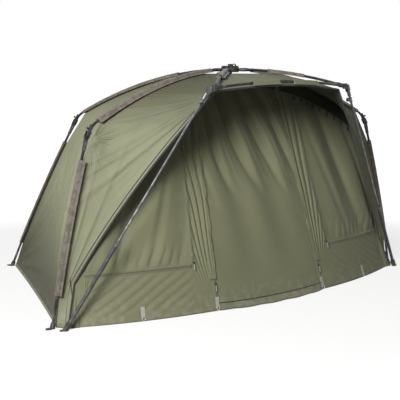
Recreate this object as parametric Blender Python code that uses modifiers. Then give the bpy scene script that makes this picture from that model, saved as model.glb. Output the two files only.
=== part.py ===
"""A one-person folding bivvy tent: a ribbed canopy over a six-arm hub, with storm poles and a zipped front.

The tent stands on +Z, its front faces -Y and its mirror plane is X = 0. All sizes are in metres.
Four long ribs turn down from the hub to a locking knuckle and a leg. Two short ribs carry the brow bar.
"""

import math

import bmesh
import bpy
from mathutils import Matrix, Vector
from mathutils.bvhtree import BVHTree

# Hub and plan of the frame
HUB_HEIGHT = 1.300
HUB_SETBACK = 0.462
FRONT_FOOT_HALF_SPAN = 1.292
FRONT_FOOT_SETBACK = 0.606
REAR_FOOT_HALF_SPAN = 0.738
REAR_FOOT_SETBACK = 0.912
BROW_HALF_SPAN = 0.490
BROW_SETBACK = 0.917
BROW_DROP = 0.096
BROW_HEIGHT = HUB_HEIGHT - BROW_DROP
POLE_FOOT_INSET = 0.038
POLE_FOOT_HALF_SPAN = FRONT_FOOT_HALF_SPAN - POLE_FOOT_INSET
POLE_FOOT_SETBACK = 0.683

# Clearances
SEAT_GAP = 0.0003
RUNNING_GAP = 0.0004
CUT_OVERRUN = 0.004

# Rib tubes, measured in the upright plane that holds each rib
TUBE_RADIUS = 0.0078
TUBE_SIDES = 8
KNUCKLE_INSET = 0.230
KNUCKLE_REACH = FRONT_FOOT_HALF_SPAN - KNUCKLE_INSET
KNUCKLE_DROP = 0.342
ARCH_END_INSET = 0.062
ARCH_END_REACH = KNUCKLE_REACH - ARCH_END_INSET
ARCH_DROP = 0.270
ARCH_POWER = 1.9
ARCH_STEPS = 10
ELBOW_REACH = 0.032
ELBOW_DROP = 0.018
ELBOW_STEPS = 4
LEG_BOW = 0.014
LEG_STEPS = 6

# Hub body, cap, loop and strap
HUB_RADIUS = 0.052
HUB_THICKNESS = 0.032
HUB_CORE_RADIUS = 0.030
HUB_EDGE_BEVEL = 0.003
HUB_SIDES = 30
PIVOT_RADIUS = 0.040
HUB_PIN_RADIUS = 0.0030
HUB_PIN_SIDES = 12
HUB_TONGUE_THICKNESS = 0.0100
HUB_TONGUE_DEPTH = 0.0065
HUB_TONGUE_LENGTH = 0.030
HUB_FERRULE_RADIUS = 0.0100
HUB_FERRULE_LENGTH = 0.034
CAP_RADIUS = 0.050
CAP_THICKNESS = 0.005
CAP_KNOB_RADIUS = 0.013
CAP_KNOB_HEIGHT = 0.011
CAP_KNOB_BEVEL = 0.003
LOOP_SPAN = 0.030
LOOP_HEIGHT = 0.013
LOOP_WIDTH = 0.010
LOOP_THICKNESS = 0.0025
LOOP_OFFSET = 0.031
STRAP_WIDTH = 0.030
STRAP_THICKNESS = 0.004

# Locking knuckle
PIN_RADIUS = 0.0040
PIN_SIDES = 12
PIN_HEAD_RADIUS = 0.0062
PIN_HEAD_THICKNESS = 0.0020
TONGUE_THICKNESS = 0.0120
TONGUE_DEPTH = 0.0100
TONGUE_LENGTH = 0.036
CHEEK_DEPTH = 0.0115
CHEEK_THICKNESS = 0.0040
CHEEK_LENGTH = 0.034
SLOT_DEPTH = 0.0265
FERRULE_RADIUS = 0.0105
FERRULE_LENGTH = 0.034
FERRULE_SIDES = 10
NOSE_STEPS = 5

# Lock button on each knuckle
BUTTON_SETBACK = 0.042
BUTTON_SHANK_RADIUS = 0.0032
BUTTON_SHANK_LENGTH = 0.0105
BUTTON_SEAT_DEPTH = 0.0055
BUTTON_HEAD_RADIUS = 0.0065
BUTTON_HEAD_HEIGHT = 0.0070
BUTTON_BEVEL = 0.0016
BUTTON_SIDES = 10

# Feet of the ribs
FOOT_RADIUS = 0.0150
FOOT_TOP_RADIUS = 0.0115
FOOT_HEIGHT = 0.030
FOOT_FLOOR = 0.006
FOOT_TAB_LENGTH = 0.026
FOOT_TAB_WIDTH = 0.026
FOOT_TAB_THICKNESS = 0.005
FOOT_EYE_RADIUS = 0.0055
FOOT_SIDES = 12

# Rib sleeves
SLEEVE_HALF_WIDTH = 0.0190
SLEEVE_HALF_DEPTH = 0.0108
SLEEVE_SIDES = 8
FRONT_SLEEVE_START = 0.165
REAR_SLEEVE_START = 0.330
UPPER_SLEEVE_INSET = 0.015
UPPER_SLEEVE_END = ARCH_END_REACH - UPPER_SLEEVE_INSET
LEG_SLEEVE_DROP = 0.118
LEG_SLEEVE_TOP = HUB_HEIGHT - KNUCKLE_DROP - LEG_SLEEVE_DROP
LEG_SLEEVE_BOTTOM = 0.165
BROW_SLEEVE_START = 0.220
BROW_SLEEVE_END = 0.430
BAR_SLEEVE_INNER = 0.055
BAR_SLEEVE_OUTER = 0.240
BROW_SLEEVE_STEPS = 4

# Brow ribs, brow bar and corner fittings
BROW_DROP_POWER = 2.0
BROW_STEPS = 7
BAR_RISE = 0.030
BAR_BULGE = 0.016
BAR_STEPS = 6
JOINT_HALF_LENGTH = 0.042
JOINT_RADIUS = 0.0108
JOINT_SOCKET_DEPTH = 0.030
OPEN_PIVOT_GAP = 0.0010
CORNER_RADIUS = 0.0130
CORNER_HEIGHT = 0.032
CORNER_SOCKET_RADIUS = 0.0112
CORNER_SOCKET_LENGTH = 0.050
CORNER_SOCKET_FLOOR = 0.024
CORNER_LUG_LENGTH = 0.026

# Storm poles
ROD_RADIUS = 0.0065
POLE_TUBE_RADIUS = 0.0098
POLE_TUBE_LENGTH = 0.500
POLE_TUBE_OVERLAP = 0.070
POLE_TRAVEL = 0.380
CLAMP_RADIUS = 0.0135
CLAMP_HEIGHT = 0.036
POLE_HEAD_SETBACK = 0.018
POLE_FOOT_RADIUS = 0.0150
POLE_FOOT_HEIGHT = 0.034
POLE_FOOT_FLOOR = 0.012
POLE_HOOK_LENGTH = 0.034
POLE_HOOK_WIDTH = 0.018
POLE_HOOK_THICKNESS = 0.006
KNOB_OFFSET = 0.062
KNOB_RADIUS = 0.0110
KNOB_HEIGHT = 0.012
KNOB_BOSS_RADIUS = 0.0100
KNOB_BOSS_REACH = 0.0120
KNOB_COLLAR_LENGTH = 0.030
KNOB_SHANK_RADIUS = 0.0030
KNOB_SEAT_DEPTH = 0.006
KNOB_LOBES = 6
KNOB_LOBE_DEPTH = 0.0016
POLE_SIDES = 12

# Canopy cloth
CLOTH = 0.0020
CLOTH_SET = 0.0130
CLOTH_HUB_DIP = 0.026
CLOTH_HUB_DIP_REACH = 0.300
SIDE_SAG = 0.030
REAR_SAG = 0.030
FRONT_SAG = 0.016
TOP_SAG = 0.010
HEM_REACH = 0.005
CORNER_CLOTH_SETBACK = 0.036
CORNER_CLOTH_DROP = 0.020
EDGE_KNEE_INSET = 0.126
EDGE_KNEE_HALF_SPAN = FRONT_FOOT_HALF_SPAN - EDGE_KNEE_INSET
EDGE_KNEE_SETBACK = 0.616
EDGE_KNEE_HEIGHT = 0.215
EDGE_FOOT_INSET = 0.054
EDGE_FOOT_HALF_SPAN = FRONT_FOOT_HALF_SPAN - EDGE_FOOT_INSET
EDGE_FOOT_SETBACK = 0.668
EDGE_BOW = 0.040
FOOT_CLOTH_SETBACK = 0.026
TOP_ROWS = 6
ARCH_ROWS = 4
LEG_ROWS = 6
TOP_COLUMNS = 5
FRONT_COLUMNS = 4
SIDE_COLUMNS = 6
REAR_COLUMNS = 6

# Front panel: two infills and the door between the zips
PANEL_CLOTH = 0.0016
PANEL_INSET = 0.077
PANEL_HALF_SPAN = FRONT_FOOT_HALF_SPAN - PANEL_INSET
PANEL_SETBACK = 0.655
PANEL_BULGE = 0.215
PANEL_BULGE_POWER = 2.4
PANEL_LEAN_BACK = 0.145
PANEL_LEAN_HEIGHT = 1.200
PANEL_TAPER_SHARE = 0.25
PANEL_TUCK = 0.045
PANEL_TUCK_POWER = 6
PANEL_OVERRUN = 0.006
SEAM_GAP = 0.0006
SEAM_MARGIN = 0.014
DOOR_SHARE = 0.336
ZIP_GAP = 0.0015
DOOR_FOLD = 0.011
DOOR_FOLDS = 2.6
INFILL_FOLD = 0.008
INFILL_FOLDS = 7.0
FOLD_SLANT = 1.3
FOLD_FOOT = 0.110
PANEL_ROWS = 9
DOOR_COLUMNS = 12
INFILL_COLUMNS = 10

# Peg tabs on the hem and zip sliders
TAB_WIDTH = 0.022
TAB_LENGTH = 0.062
TAB_THICKNESS = 0.0030
TAB_RING_RADIUS = 0.0110
TAB_RING_BORE = 0.0060
MID_TAB_SHARE = 0.700
DOOR_TAB_SHARE = 0.336
SLIDER_WIDTH = 0.009
SLIDER_LENGTH = 0.014
SLIDER_THICKNESS = 0.0045
PULL_WIDTH = 0.007
PULL_LENGTH = 0.030
PULL_THICKNESS = 0.0022
DOOR_SLIDER_HEIGHT = 0.135
WINDOW_SLIDER_HEIGHT = 0.260
WINDOW_SHARE = 0.440

X_AXIS = Vector((1, 0, 0))
Y_AXIS = Vector((0, 1, 0))
Z_AXIS = Vector((0, 0, 1))
HUB = Vector((0, -HUB_SETBACK, HUB_HEIGHT))
SIDES = {"left": -1, "right": 1}


def clear_scene():
    for obj in list(bpy.data.objects):
        bpy.data.objects.remove(obj, do_unlink=True)


def collection(name):
    made = bpy.data.collections.new(name)
    bpy.context.scene.collection.children.link(made)
    return made


def material(name, colour, roughness, metallic=0.0):
    made = bpy.data.materials.new(name)
    made.use_nodes = True
    shader = made.node_tree.nodes["Principled BSDF"]
    shader.inputs["Base Color"].default_value = (*colour, 1.0)
    shader.inputs["Roughness"].default_value = roughness
    shader.inputs["Metallic"].default_value = metallic
    made.diffuse_color = (*colour, 1.0)
    return made


def place(name, mesh, home, finish, parent=None, location=(0, 0, 0)):
    """An object that shows the mesh, under a parent empty where it has one."""
    obj = bpy.data.objects.new(name, mesh)
    if not mesh.materials:
        mesh.materials.append(finish)
    home.objects.link(obj)
    obj.parent = parent
    obj.location = location
    return obj


def empty(name, home, location, turn=0.0):
    made = bpy.data.objects.new(name, None)
    home.objects.link(made)
    made.location = location
    made.rotation_euler = (0, 0, turn)
    return made


def mesh_from(bm, name):
    """Closes a bmesh into a mesh with its faces out."""
    bmesh.ops.recalc_face_normals(bm, faces=bm.faces)
    mesh = bpy.data.meshes.new(name)
    bm.to_mesh(mesh)
    bm.free()
    return mesh


def shade(mesh, angle=math.radians(40)):
    mesh.shade_smooth()
    mesh.set_sharp_from_angle(angle=angle)
    return mesh


def axis_matrix(start, direction):
    """A frame at start whose Z runs along direction."""
    turn = Vector(direction).to_track_quat("Z", "Y").to_matrix().to_4x4()
    return Matrix.Translation(start) @ turn


def cylinder(start, end, radius, sides, end_radius=None):
    """A cylinder or cone from start to end."""
    start, end = Vector(start), Vector(end)
    bm = bmesh.new()
    bmesh.ops.create_cone(
        bm,
        cap_ends=True,
        segments=sides,
        radius1=radius,
        radius2=radius if end_radius is None else end_radius,
        depth=(end - start).length,
        matrix=axis_matrix((start + end) / 2, end - start),
    )
    return mesh_from(bm, "cylinder")


def box(centre, size, turn=None):
    """A box with its sides along the axes of turn."""
    bm = bmesh.new()
    bmesh.ops.create_cube(bm, size=1, matrix=Matrix.Diagonal((*size, 1)))
    bmesh.ops.transform(bm, matrix=turn or Matrix.Identity(4), verts=bm.verts)
    bmesh.ops.translate(bm, vec=centre, verts=bm.verts)
    return mesh_from(bm, "box")


def slab(outline, thickness, frame=None):
    """A flat outline in X and Z, as thick along Y as asked, centred on Y = 0 of its frame."""
    bm = bmesh.new()
    ring = [bm.verts.new((x, -thickness / 2, z)) for x, z in outline]
    face = bm.faces.new(ring)
    grown = bmesh.ops.extrude_face_region(bm, geom=[face])["geom"]
    moved = [v for v in grown if isinstance(v, bmesh.types.BMVert)]
    bmesh.ops.translate(bm, vec=(0, thickness, 0), verts=moved)
    bmesh.ops.transform(bm, matrix=frame or Matrix.Identity(4), verts=bm.verts)
    return mesh_from(bm, "slab")


def tongue_outline(depth, length):
    """A lug round the origin: a half-round nose on its -X side, running on to X = length."""
    nose = []
    for step in range(NOSE_STEPS + 1):
        turn = math.pi / 2 + math.pi * step / NOSE_STEPS
        nose.append((depth * math.cos(turn), depth * math.sin(turn)))
    return nose + [(length, -depth), (length, depth)]


def turned(profile, sides, frame=None):
    """A solid of revolution about Z from (radius, height) points that run from its top to its bottom."""
    mesh = bpy.data.meshes.new("profile")
    bm = bmesh.new()
    line = [bm.verts.new((radius, 0, height)) for radius, height in profile]
    for first, second in zip(line, line[1:]):
        bm.edges.new((first, second))
    bm.to_mesh(mesh)
    bm.free()
    obj = bpy.data.objects.new("profile", mesh)
    bpy.context.scene.collection.objects.link(obj)
    screw = obj.modifiers.new("turn", "SCREW")
    screw.steps = sides
    screw.render_steps = sides
    screw.use_merge_vertices = True
    screw.merge_threshold = SEAT_GAP / 30
    solid = bake(obj)
    solid.transform(frame or Matrix.Identity(4))
    return solid


def bake(obj):
    """The evaluated mesh of a scratch object, which is then removed."""
    bpy.context.view_layer.update()
    graph = bpy.context.evaluated_depsgraph_get()
    mesh = bpy.data.meshes.new_from_object(obj.evaluated_get(graph))
    old = obj.data
    bpy.data.objects.remove(obj, do_unlink=True)
    if isinstance(old, bpy.types.Mesh) and old.users == 0:
        bpy.data.meshes.remove(old)
    return mesh


def combine(base, joined=(), cuts=()):
    """One mesh: the base with some solids joined to it, then others cut out of it."""
    target = bpy.data.objects.new("base", base)
    bpy.context.scene.collection.objects.link(target)
    tools = []
    for kind, meshes in (("UNION", joined), ("DIFFERENCE", cuts)):
        for mesh in meshes:
            tool = bpy.data.objects.new("tool", mesh)
            bpy.context.scene.collection.objects.link(tool)
            tools.append(tool)
            step = target.modifiers.new(kind.lower(), "BOOLEAN")
            step.operation = kind
            step.object = tool
    solid = bake(target)
    for tool in tools:
        bpy.data.objects.remove(tool, do_unlink=True)
    solid.materials.clear()
    return solid


def tube(points, radius, sides=TUBE_SIDES):
    """A round bar along a line of points, as a mesh with its caps welded."""
    curve = bpy.data.curves.new("tube", "CURVE")
    curve.dimensions = "3D"
    curve.bevel_depth = radius
    curve.bevel_resolution = (sides - 4) // 2
    curve.use_fill_caps = True
    line = curve.splines.new("POLY")
    line.points.add(len(points) - 1)
    for spot, point in zip(line.points, points):
        spot.co = (*point, 1)
    obj = bpy.data.objects.new("tube", curve)
    bpy.context.scene.collection.objects.link(obj)
    mesh = bake(obj)
    bm = bmesh.new()
    bm.from_mesh(mesh)
    bmesh.ops.remove_doubles(bm, verts=bm.verts, dist=SEAT_GAP / 30)
    bm.to_mesh(mesh)
    bm.free()
    return mesh


def blend(first, second, share):
    return first + (second - first) * share


def lengths_along(points):
    total = [0.0]
    for first, second in zip(points, points[1:]):
        total.append(total[-1] + (second - first).length)
    return total


def portion(points, start, end, steps):
    """Evenly spaced points of a line between two distances along it."""
    total = lengths_along(points)
    picked = []
    for step in range(steps + 1):
        want = start + (end - start) * step / steps
        spot = next((i for i in range(1, len(total)) if total[i] >= want), len(total) - 1)
        run = total[spot] - total[spot - 1]
        picked.append(blend(points[spot - 1], points[spot], (want - total[spot - 1]) / run))
    return picked


def stretch(points, start, end):
    """The part of a line between two distances along it, with the line's own points kept."""
    total = lengths_along(points)
    inner = [point for point, run in zip(points, total) if start + CUT_OVERRUN < run < end - CUT_OVERRUN]
    return portion(points, start, end, 1)[:1] + inner + portion(points, start, end, 1)[-1:]


def distance_at(points, share_of):
    """How far along a line its share_of value first passes zero."""
    total = lengths_along(points)
    for i in range(1, len(points)):
        before, after = share_of(points[i - 1]), share_of(points[i])
        if before * after <= 0 and before != after:
            return blend(total[i - 1], total[i], before / (before - after))
    return total[-1]


# Centrelines of the frame, in a rib's own plane: X outward from the hub, Z up


def rib_pivot():
    return Vector((PIVOT_RADIUS, 0, HUB_HEIGHT))


def knuckle_pivot():
    return Vector((KNUCKLE_REACH, 0, HUB_HEIGHT - KNUCKLE_DROP))


def upper_line():
    """The long rib from its hub pivot, down its arch and round the elbow, to the knuckle pivot."""
    start = rib_pivot()
    points = []
    for step in range(ARCH_STEPS + 1):
        share = step / ARCH_STEPS
        reach = blend(start.x, ARCH_END_REACH, share)
        points.append(Vector((reach, 0, HUB_HEIGHT - ARCH_DROP * share**ARCH_POWER)))
    bend = points[-1] + Vector((ELBOW_REACH, 0, -ELBOW_DROP))
    last = points[-1]
    end = knuckle_pivot()
    for step in range(1, ELBOW_STEPS + 1):
        share = step / ELBOW_STEPS
        points.append(blend(blend(last, bend, share), blend(bend, end, share), share))
    return points


def leg_line(foot_reach):
    """The leg from the knuckle pivot to the ground, bowed outward a little."""
    top = knuckle_pivot()
    foot = Vector((foot_reach, 0, 0))
    out = (foot - top).cross(Y_AXIS).normalized()
    if out.x < 0:
        out.negate()
    points = []
    for step in range(LEG_STEPS + 1):
        share = step / LEG_STEPS
        points.append(blend(top, foot, share) + out * LEG_BOW * 4 * share * (1 - share))
    return points


def brow_line():
    """The short rib from its hub pivot to the corner fitting, in its own plane."""
    reach = Vector((BROW_HALF_SPAN, BROW_SETBACK - HUB_SETBACK)).length
    start = rib_pivot()
    points = []
    for step in range(BROW_STEPS + 1):
        share = step / BROW_STEPS
        drop = (HUB_HEIGHT - BROW_HEIGHT) * share**BROW_DROP_POWER
        points.append(Vector((blend(start.x, reach, share), 0, HUB_HEIGHT - drop)))
    return points


def bar_point(offset):
    """The brow bar at a sideways offset from the mirror plane, arched up and forward."""
    share = 1 - (offset / BROW_HALF_SPAN) ** 2
    return Vector((offset, -BROW_SETBACK - BAR_BULGE * share, BROW_HEIGHT + BAR_RISE * share))


def plan_turn(half_span, setback, side):
    """The angle in plan of a rib that ends at this half span and setback."""
    return math.atan2(setback + HUB_SETBACK, side * half_span)


RIBS = {
    "front": (FRONT_FOOT_HALF_SPAN, -FRONT_FOOT_SETBACK),
    "rear": (REAR_FOOT_HALF_SPAN, REAR_FOOT_SETBACK),
}


def rib_turn(end, side):
    half_span, setback = RIBS[end]
    return plan_turn(half_span, setback, SIDES[side])


def brow_turn(side):
    return plan_turn(BROW_HALF_SPAN, -BROW_SETBACK, SIDES[side])


def foot_reach(end):
    half_span, setback = RIBS[end]
    return Vector((half_span, setback + HUB_SETBACK)).length


def to_world(point, turn):
    """A point of a rib's plane, in world coordinates."""
    return Matrix.Rotation(turn, 3, "Z") @ point + Vector((HUB.x, HUB.y, 0))


# Joint ends that the ribs and storm poles share


def end_frame(pivot, towards):
    """A frame at a pivot whose X runs into the piece and whose Y is the pivot's axis."""
    along = (towards - pivot).normalized()
    side = Y_AXIS
    up = along.cross(side).normalized()
    turn = Matrix((along, side, up)).transposed().to_4x4()
    return Matrix.Translation(pivot) @ turn


def tongue_with_hole(frame):
    """The lug on one side of a hinge, with its hole and the ferrule that grips the tube."""
    lug = slab(tongue_outline(TONGUE_DEPTH, TONGUE_LENGTH), TONGUE_THICKNESS, frame)
    start = frame @ Vector((TONGUE_LENGTH - CUT_OVERRUN, 0, 0))
    end = frame @ Vector((TONGUE_LENGTH + FERRULE_LENGTH, 0, 0))
    ferrule = cylinder(start, end, FERRULE_RADIUS, FERRULE_SIDES)
    reach = Vector((0, TONGUE_THICKNESS, 0))
    hole = cylinder(frame @ -reach, frame @ reach, PIN_RADIUS + RUNNING_GAP, PIN_SIDES)
    return lug, ferrule, hole


def fork_with_pin(frame):
    """The two cheeks on the other side of a hinge, their ferrule, and the riveted pin."""
    width = TONGUE_THICKNESS + 2 * RUNNING_GAP + 2 * CHEEK_THICKNESS
    cheeks = slab(tongue_outline(CHEEK_DEPTH, CHEEK_LENGTH), width, frame)
    start = frame @ Vector((CHEEK_LENGTH - CUT_OVERRUN, 0, 0))
    end = frame @ Vector((CHEEK_LENGTH + FERRULE_LENGTH, 0, 0))
    ferrule = cylinder(start, end, FERRULE_RADIUS, FERRULE_SIDES)
    slot_length = SLOT_DEPTH + CHEEK_DEPTH + CUT_OVERRUN
    slot = box(
        (SLOT_DEPTH - slot_length / 2, 0, 0),
        (slot_length, TONGUE_THICKNESS + 2 * RUNNING_GAP, 2 * CHEEK_DEPTH + 2 * CUT_OVERRUN),
    )
    slot.transform(frame)
    half = width / 2
    pin = cylinder(
        frame @ Vector((0, -half - PIN_HEAD_THICKNESS / 2, 0)),
        frame @ Vector((0, half + PIN_HEAD_THICKNESS / 2, 0)),
        PIN_RADIUS,
        PIN_SIDES,
    )
    heads = []
    for sign in (-1, 1):
        inner = frame @ Vector((0, sign * (half - CUT_OVERRUN / 4), 0))
        outer = frame @ Vector((0, sign * (half + PIN_HEAD_THICKNESS), 0))
        heads.append(cylinder(inner, outer, PIN_HEAD_RADIUS, PIN_SIDES))
    return cheeks, ferrule, slot, pin, heads


def hub_tongue(line):
    """The flat inner end of a rib, its pivot hole and its ferrule."""
    frame = end_frame(line[0], line[1])
    outline = tongue_outline(HUB_TONGUE_DEPTH, HUB_TONGUE_LENGTH)
    lug = slab(outline, HUB_TONGUE_THICKNESS, frame)
    start = frame @ Vector((HUB_TONGUE_LENGTH - CUT_OVERRUN, 0, 0))
    end = frame @ Vector((HUB_TONGUE_LENGTH + HUB_FERRULE_LENGTH, 0, 0))
    ferrule = cylinder(start, end, HUB_FERRULE_RADIUS, FERRULE_SIDES)
    reach = Vector((0, HUB_TONGUE_THICKNESS, 0))
    hole = cylinder(frame @ -reach, frame @ reach, HUB_PIN_RADIUS + RUNNING_GAP, HUB_PIN_SIDES)
    return lug, ferrule, hole


def moved(mesh, offset):
    mesh.transform(Matrix.Translation(offset))
    return mesh


# Ribs


def knuckle_frame():
    line = upper_line()
    return end_frame(line[-1], line[-2])


def button_frame():
    """Where a lock button sits: Z points out of the knuckle, square to the rib."""
    frame = knuckle_frame()
    spot = frame @ Vector((BUTTON_SETBACK, 0, 0))
    out = (frame.to_3x3() @ Z_AXIS).normalized()
    if out.x < 0:
        out.negate()
    return axis_matrix(spot, out)


def upper_rib_mesh():
    """The arched tube with a tongue at the hub and a fork at the knuckle."""
    line = upper_line()
    frame = knuckle_frame()
    cheeks, ferrule, slot, pin, heads = fork_with_pin(frame)
    lug, inner_ferrule, hole = hub_tongue(line)
    total = lengths_along(line)[-1]
    first = HUB_TONGUE_LENGTH + HUB_FERRULE_LENGTH / 2
    last = total - CHEEK_LENGTH - FERRULE_LENGTH / 2
    bar = tube(stretch(line, first, last), TUBE_RADIUS)
    seat = button_frame()
    top = seat @ Vector((0, 0, FERRULE_RADIUS + CUT_OVERRUN))
    floor = seat @ Vector((0, 0, FERRULE_RADIUS - BUTTON_SEAT_DEPTH))
    well = cylinder(floor, top, BUTTON_SHANK_RADIUS + RUNNING_GAP, BUTTON_SIDES)
    body = combine(cheeks, [ferrule, bar], [slot, well])
    body = combine(body, [pin, *heads, inner_ferrule, lug], [hole])
    return shade(moved(body, -rib_pivot()))


def leg_mesh(end):
    """The lower tube with the knuckle's tongue at its top."""
    line = leg_line(foot_reach(end))
    frame = end_frame(line[0], line[1])
    lug, ferrule, hole = tongue_with_hole(frame)
    total = lengths_along(line)[-1]
    bottom = distance_at(line, lambda point: point.z - FOOT_FLOOR - SEAT_GAP)
    first = TONGUE_LENGTH + FERRULE_LENGTH / 2
    bar = tube(stretch(line, first, min(bottom, total)), TUBE_RADIUS)
    end_cut = box(
        (line[-1].x, 0, FOOT_FLOOR + SEAT_GAP - TUBE_RADIUS),
        (4 * TUBE_RADIUS, 4 * TUBE_RADIUS, 2 * TUBE_RADIUS),
    )
    body = combine(lug, [ferrule, bar], [hole, end_cut])
    return shade(moved(body, -knuckle_pivot()))


def foot_mesh(end):
    """A moulded cup round the tube's end with a pegging eye, flat underneath."""
    line = leg_line(foot_reach(end))
    centre = Vector((line[-1].x, 0, 0))
    lean = (line[-1] - line[-2]).normalized()
    lifted = centre - lean * (FOOT_HEIGHT / -lean.z)
    cup = cylinder(centre, Vector((lifted.x, 0, FOOT_HEIGHT)), FOOT_RADIUS, FOOT_SIDES, FOOT_TOP_RADIUS)
    outline_length = FOOT_TAB_LENGTH
    tab = box(
        centre + Vector((outline_length / 2, 0, FOOT_TAB_THICKNESS / 2)),
        (outline_length, FOOT_TAB_WIDTH, FOOT_TAB_THICKNESS),
    )
    tip = centre + Vector((outline_length, 0, 0))
    nose = cylinder(tip, tip + Vector((0, 0, FOOT_TAB_THICKNESS)), FOOT_TAB_WIDTH / 2, FOOT_SIDES)
    eye = cylinder(
        tip - Vector((0, 0, CUT_OVERRUN)),
        tip + Vector((0, 0, FOOT_TAB_THICKNESS + CUT_OVERRUN)),
        FOOT_EYE_RADIUS,
        FOOT_SIDES,
    )
    bore_low = line[-1] + lean * (FOOT_FLOOR / lean.z)
    bore = cylinder(
        bore_low + lean * TUBE_RADIUS,
        line[-1] - lean * 3 * FOOT_HEIGHT,
        TUBE_RADIUS + RUNNING_GAP,
        FOOT_SIDES,
    )
    floor = box(
        centre + Vector((0, 0, FOOT_FLOOR - TUBE_RADIUS)),
        (6 * TUBE_RADIUS, 6 * TUBE_RADIUS, 2 * TUBE_RADIUS),
    )
    bore = combine(bore, [], [floor])
    ground = box(centre - Vector((0, 0, FOOT_RADIUS)), (8 * FOOT_RADIUS, 8 * FOOT_RADIUS, 2 * FOOT_RADIUS))
    body = combine(cup, [tab, nose], [eye, bore, ground])
    return shade(moved(body, -centre))


def button_mesh():
    """The lock button: a shank in the knuckle and a rounded head to pull."""
    base = FERRULE_RADIUS - BUTTON_SEAT_DEPTH + SEAT_GAP
    neck = base + BUTTON_SHANK_LENGTH
    top = neck + BUTTON_HEAD_HEIGHT
    profile = [
        (0, top),
        (BUTTON_HEAD_RADIUS - BUTTON_BEVEL, top),
        (BUTTON_HEAD_RADIUS, top - BUTTON_BEVEL),
        (BUTTON_HEAD_RADIUS, neck + BUTTON_BEVEL),
        (BUTTON_HEAD_RADIUS - BUTTON_BEVEL, neck),
        (BUTTON_SHANK_RADIUS, neck),
        (BUTTON_SHANK_RADIUS, base),
        (0, base),
    ]
    frame = button_frame()
    frame.translation = (0, 0, 0)
    return shade(turned(profile, BUTTON_SIDES, frame))


def sleeve_mesh(line, half_width=SLEEVE_HALF_WIDTH, half_depth=SLEEVE_HALF_DEPTH, side=Y_AXIS):
    """A cloth sleeve round a tube: an oval outside, a round bore, open at both ends."""
    bm = bmesh.new()
    rings = []
    for spot, point in enumerate(line):
        before = line[max(spot - 1, 0)]
        after = line[min(spot + 1, len(line) - 1)]
        along = (after - before).normalized()
        up = along.cross(side).normalized()
        outer, inner = [], []
        for step in range(SLEEVE_SIDES):
            turn = 2 * math.pi * (step + 0.5) / SLEEVE_SIDES
            across, above = math.cos(turn), math.sin(turn)
            outer.append(bm.verts.new(point + side * half_width * across + up * half_depth * above))
            bore = (TUBE_RADIUS + SEAT_GAP) / math.cos(math.pi / SLEEVE_SIDES)
            inner.append(bm.verts.new(point + side * bore * across + up * bore * above))
        rings.append((outer, inner))
    for first, second in zip(rings, rings[1:]):
        for layer in (0, 1):
            for step in range(SLEEVE_SIDES):
                nxt = (step + 1) % SLEEVE_SIDES
                bm.faces.new((first[layer][step], first[layer][nxt], second[layer][nxt], second[layer][step]))
    for outer, inner in (rings[0], rings[-1]):
        for step in range(SLEEVE_SIDES):
            nxt = (step + 1) % SLEEVE_SIDES
            bm.faces.new((outer[step], outer[nxt], inner[nxt], inner[step]))
    return shade(mesh_from(bm, "sleeve"))


def upper_sleeve_mesh(start_reach):
    line = upper_line()
    start = distance_at(line, lambda point: point.x - start_reach)
    end = distance_at(line, lambda point: point.x - UPPER_SLEEVE_END)
    return moved(sleeve_mesh(stretch(line, start, end)), -rib_pivot())


def leg_sleeve_mesh(end):
    line = leg_line(foot_reach(end))
    start = distance_at(line, lambda point: point.z - LEG_SLEEVE_TOP)
    stop = distance_at(line, lambda point: point.z - LEG_SLEEVE_BOTTOM)
    return moved(sleeve_mesh(stretch(line, start, stop)), -knuckle_pivot())


def build_ribs(home, looks):
    """The four long ribs, their knuckles, legs, feet and sleeves."""
    upper = upper_rib_mesh()
    button = button_mesh()
    button_spot = button_frame().translation
    sleeves = {"front": upper_sleeve_mesh(FRONT_SLEEVE_START), "rear": upper_sleeve_mesh(REAR_SLEEVE_START)}
    for end in RIBS:
        leg = leg_mesh(end)
        foot = foot_mesh(end)
        leg_sleeve = leg_sleeve_mesh(end)
        for side in SIDES:
            tag = f"{end}_{side}"
            base = empty(f"place_{tag}", home, (HUB.x, HUB.y, 0), rib_turn(end, side))
            place(f"rib_{tag}", upper, home, looks["tube"], base, rib_pivot())
            place(f"rib_sleeve_{tag}", sleeves[end], home, looks["sleeve"], base, rib_pivot())
            place(f"lock_button_{tag}", button, home, looks["moulding"], base, button_spot)
            place(f"leg_{tag}", leg, home, looks["tube"], base, knuckle_pivot())
            place(f"leg_sleeve_{tag}", leg_sleeve, home, looks["sleeve"], base, knuckle_pivot())
            place(f"foot_{tag}", foot, home, looks["moulding"], base, (foot_reach(end), 0, 0))


# Hub


def all_turns():
    turns = []
    for side in SIDES:
        turns.append(brow_turn(side))
        for end in RIBS:
            turns.append(rib_turn(end, side))
    return turns


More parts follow.
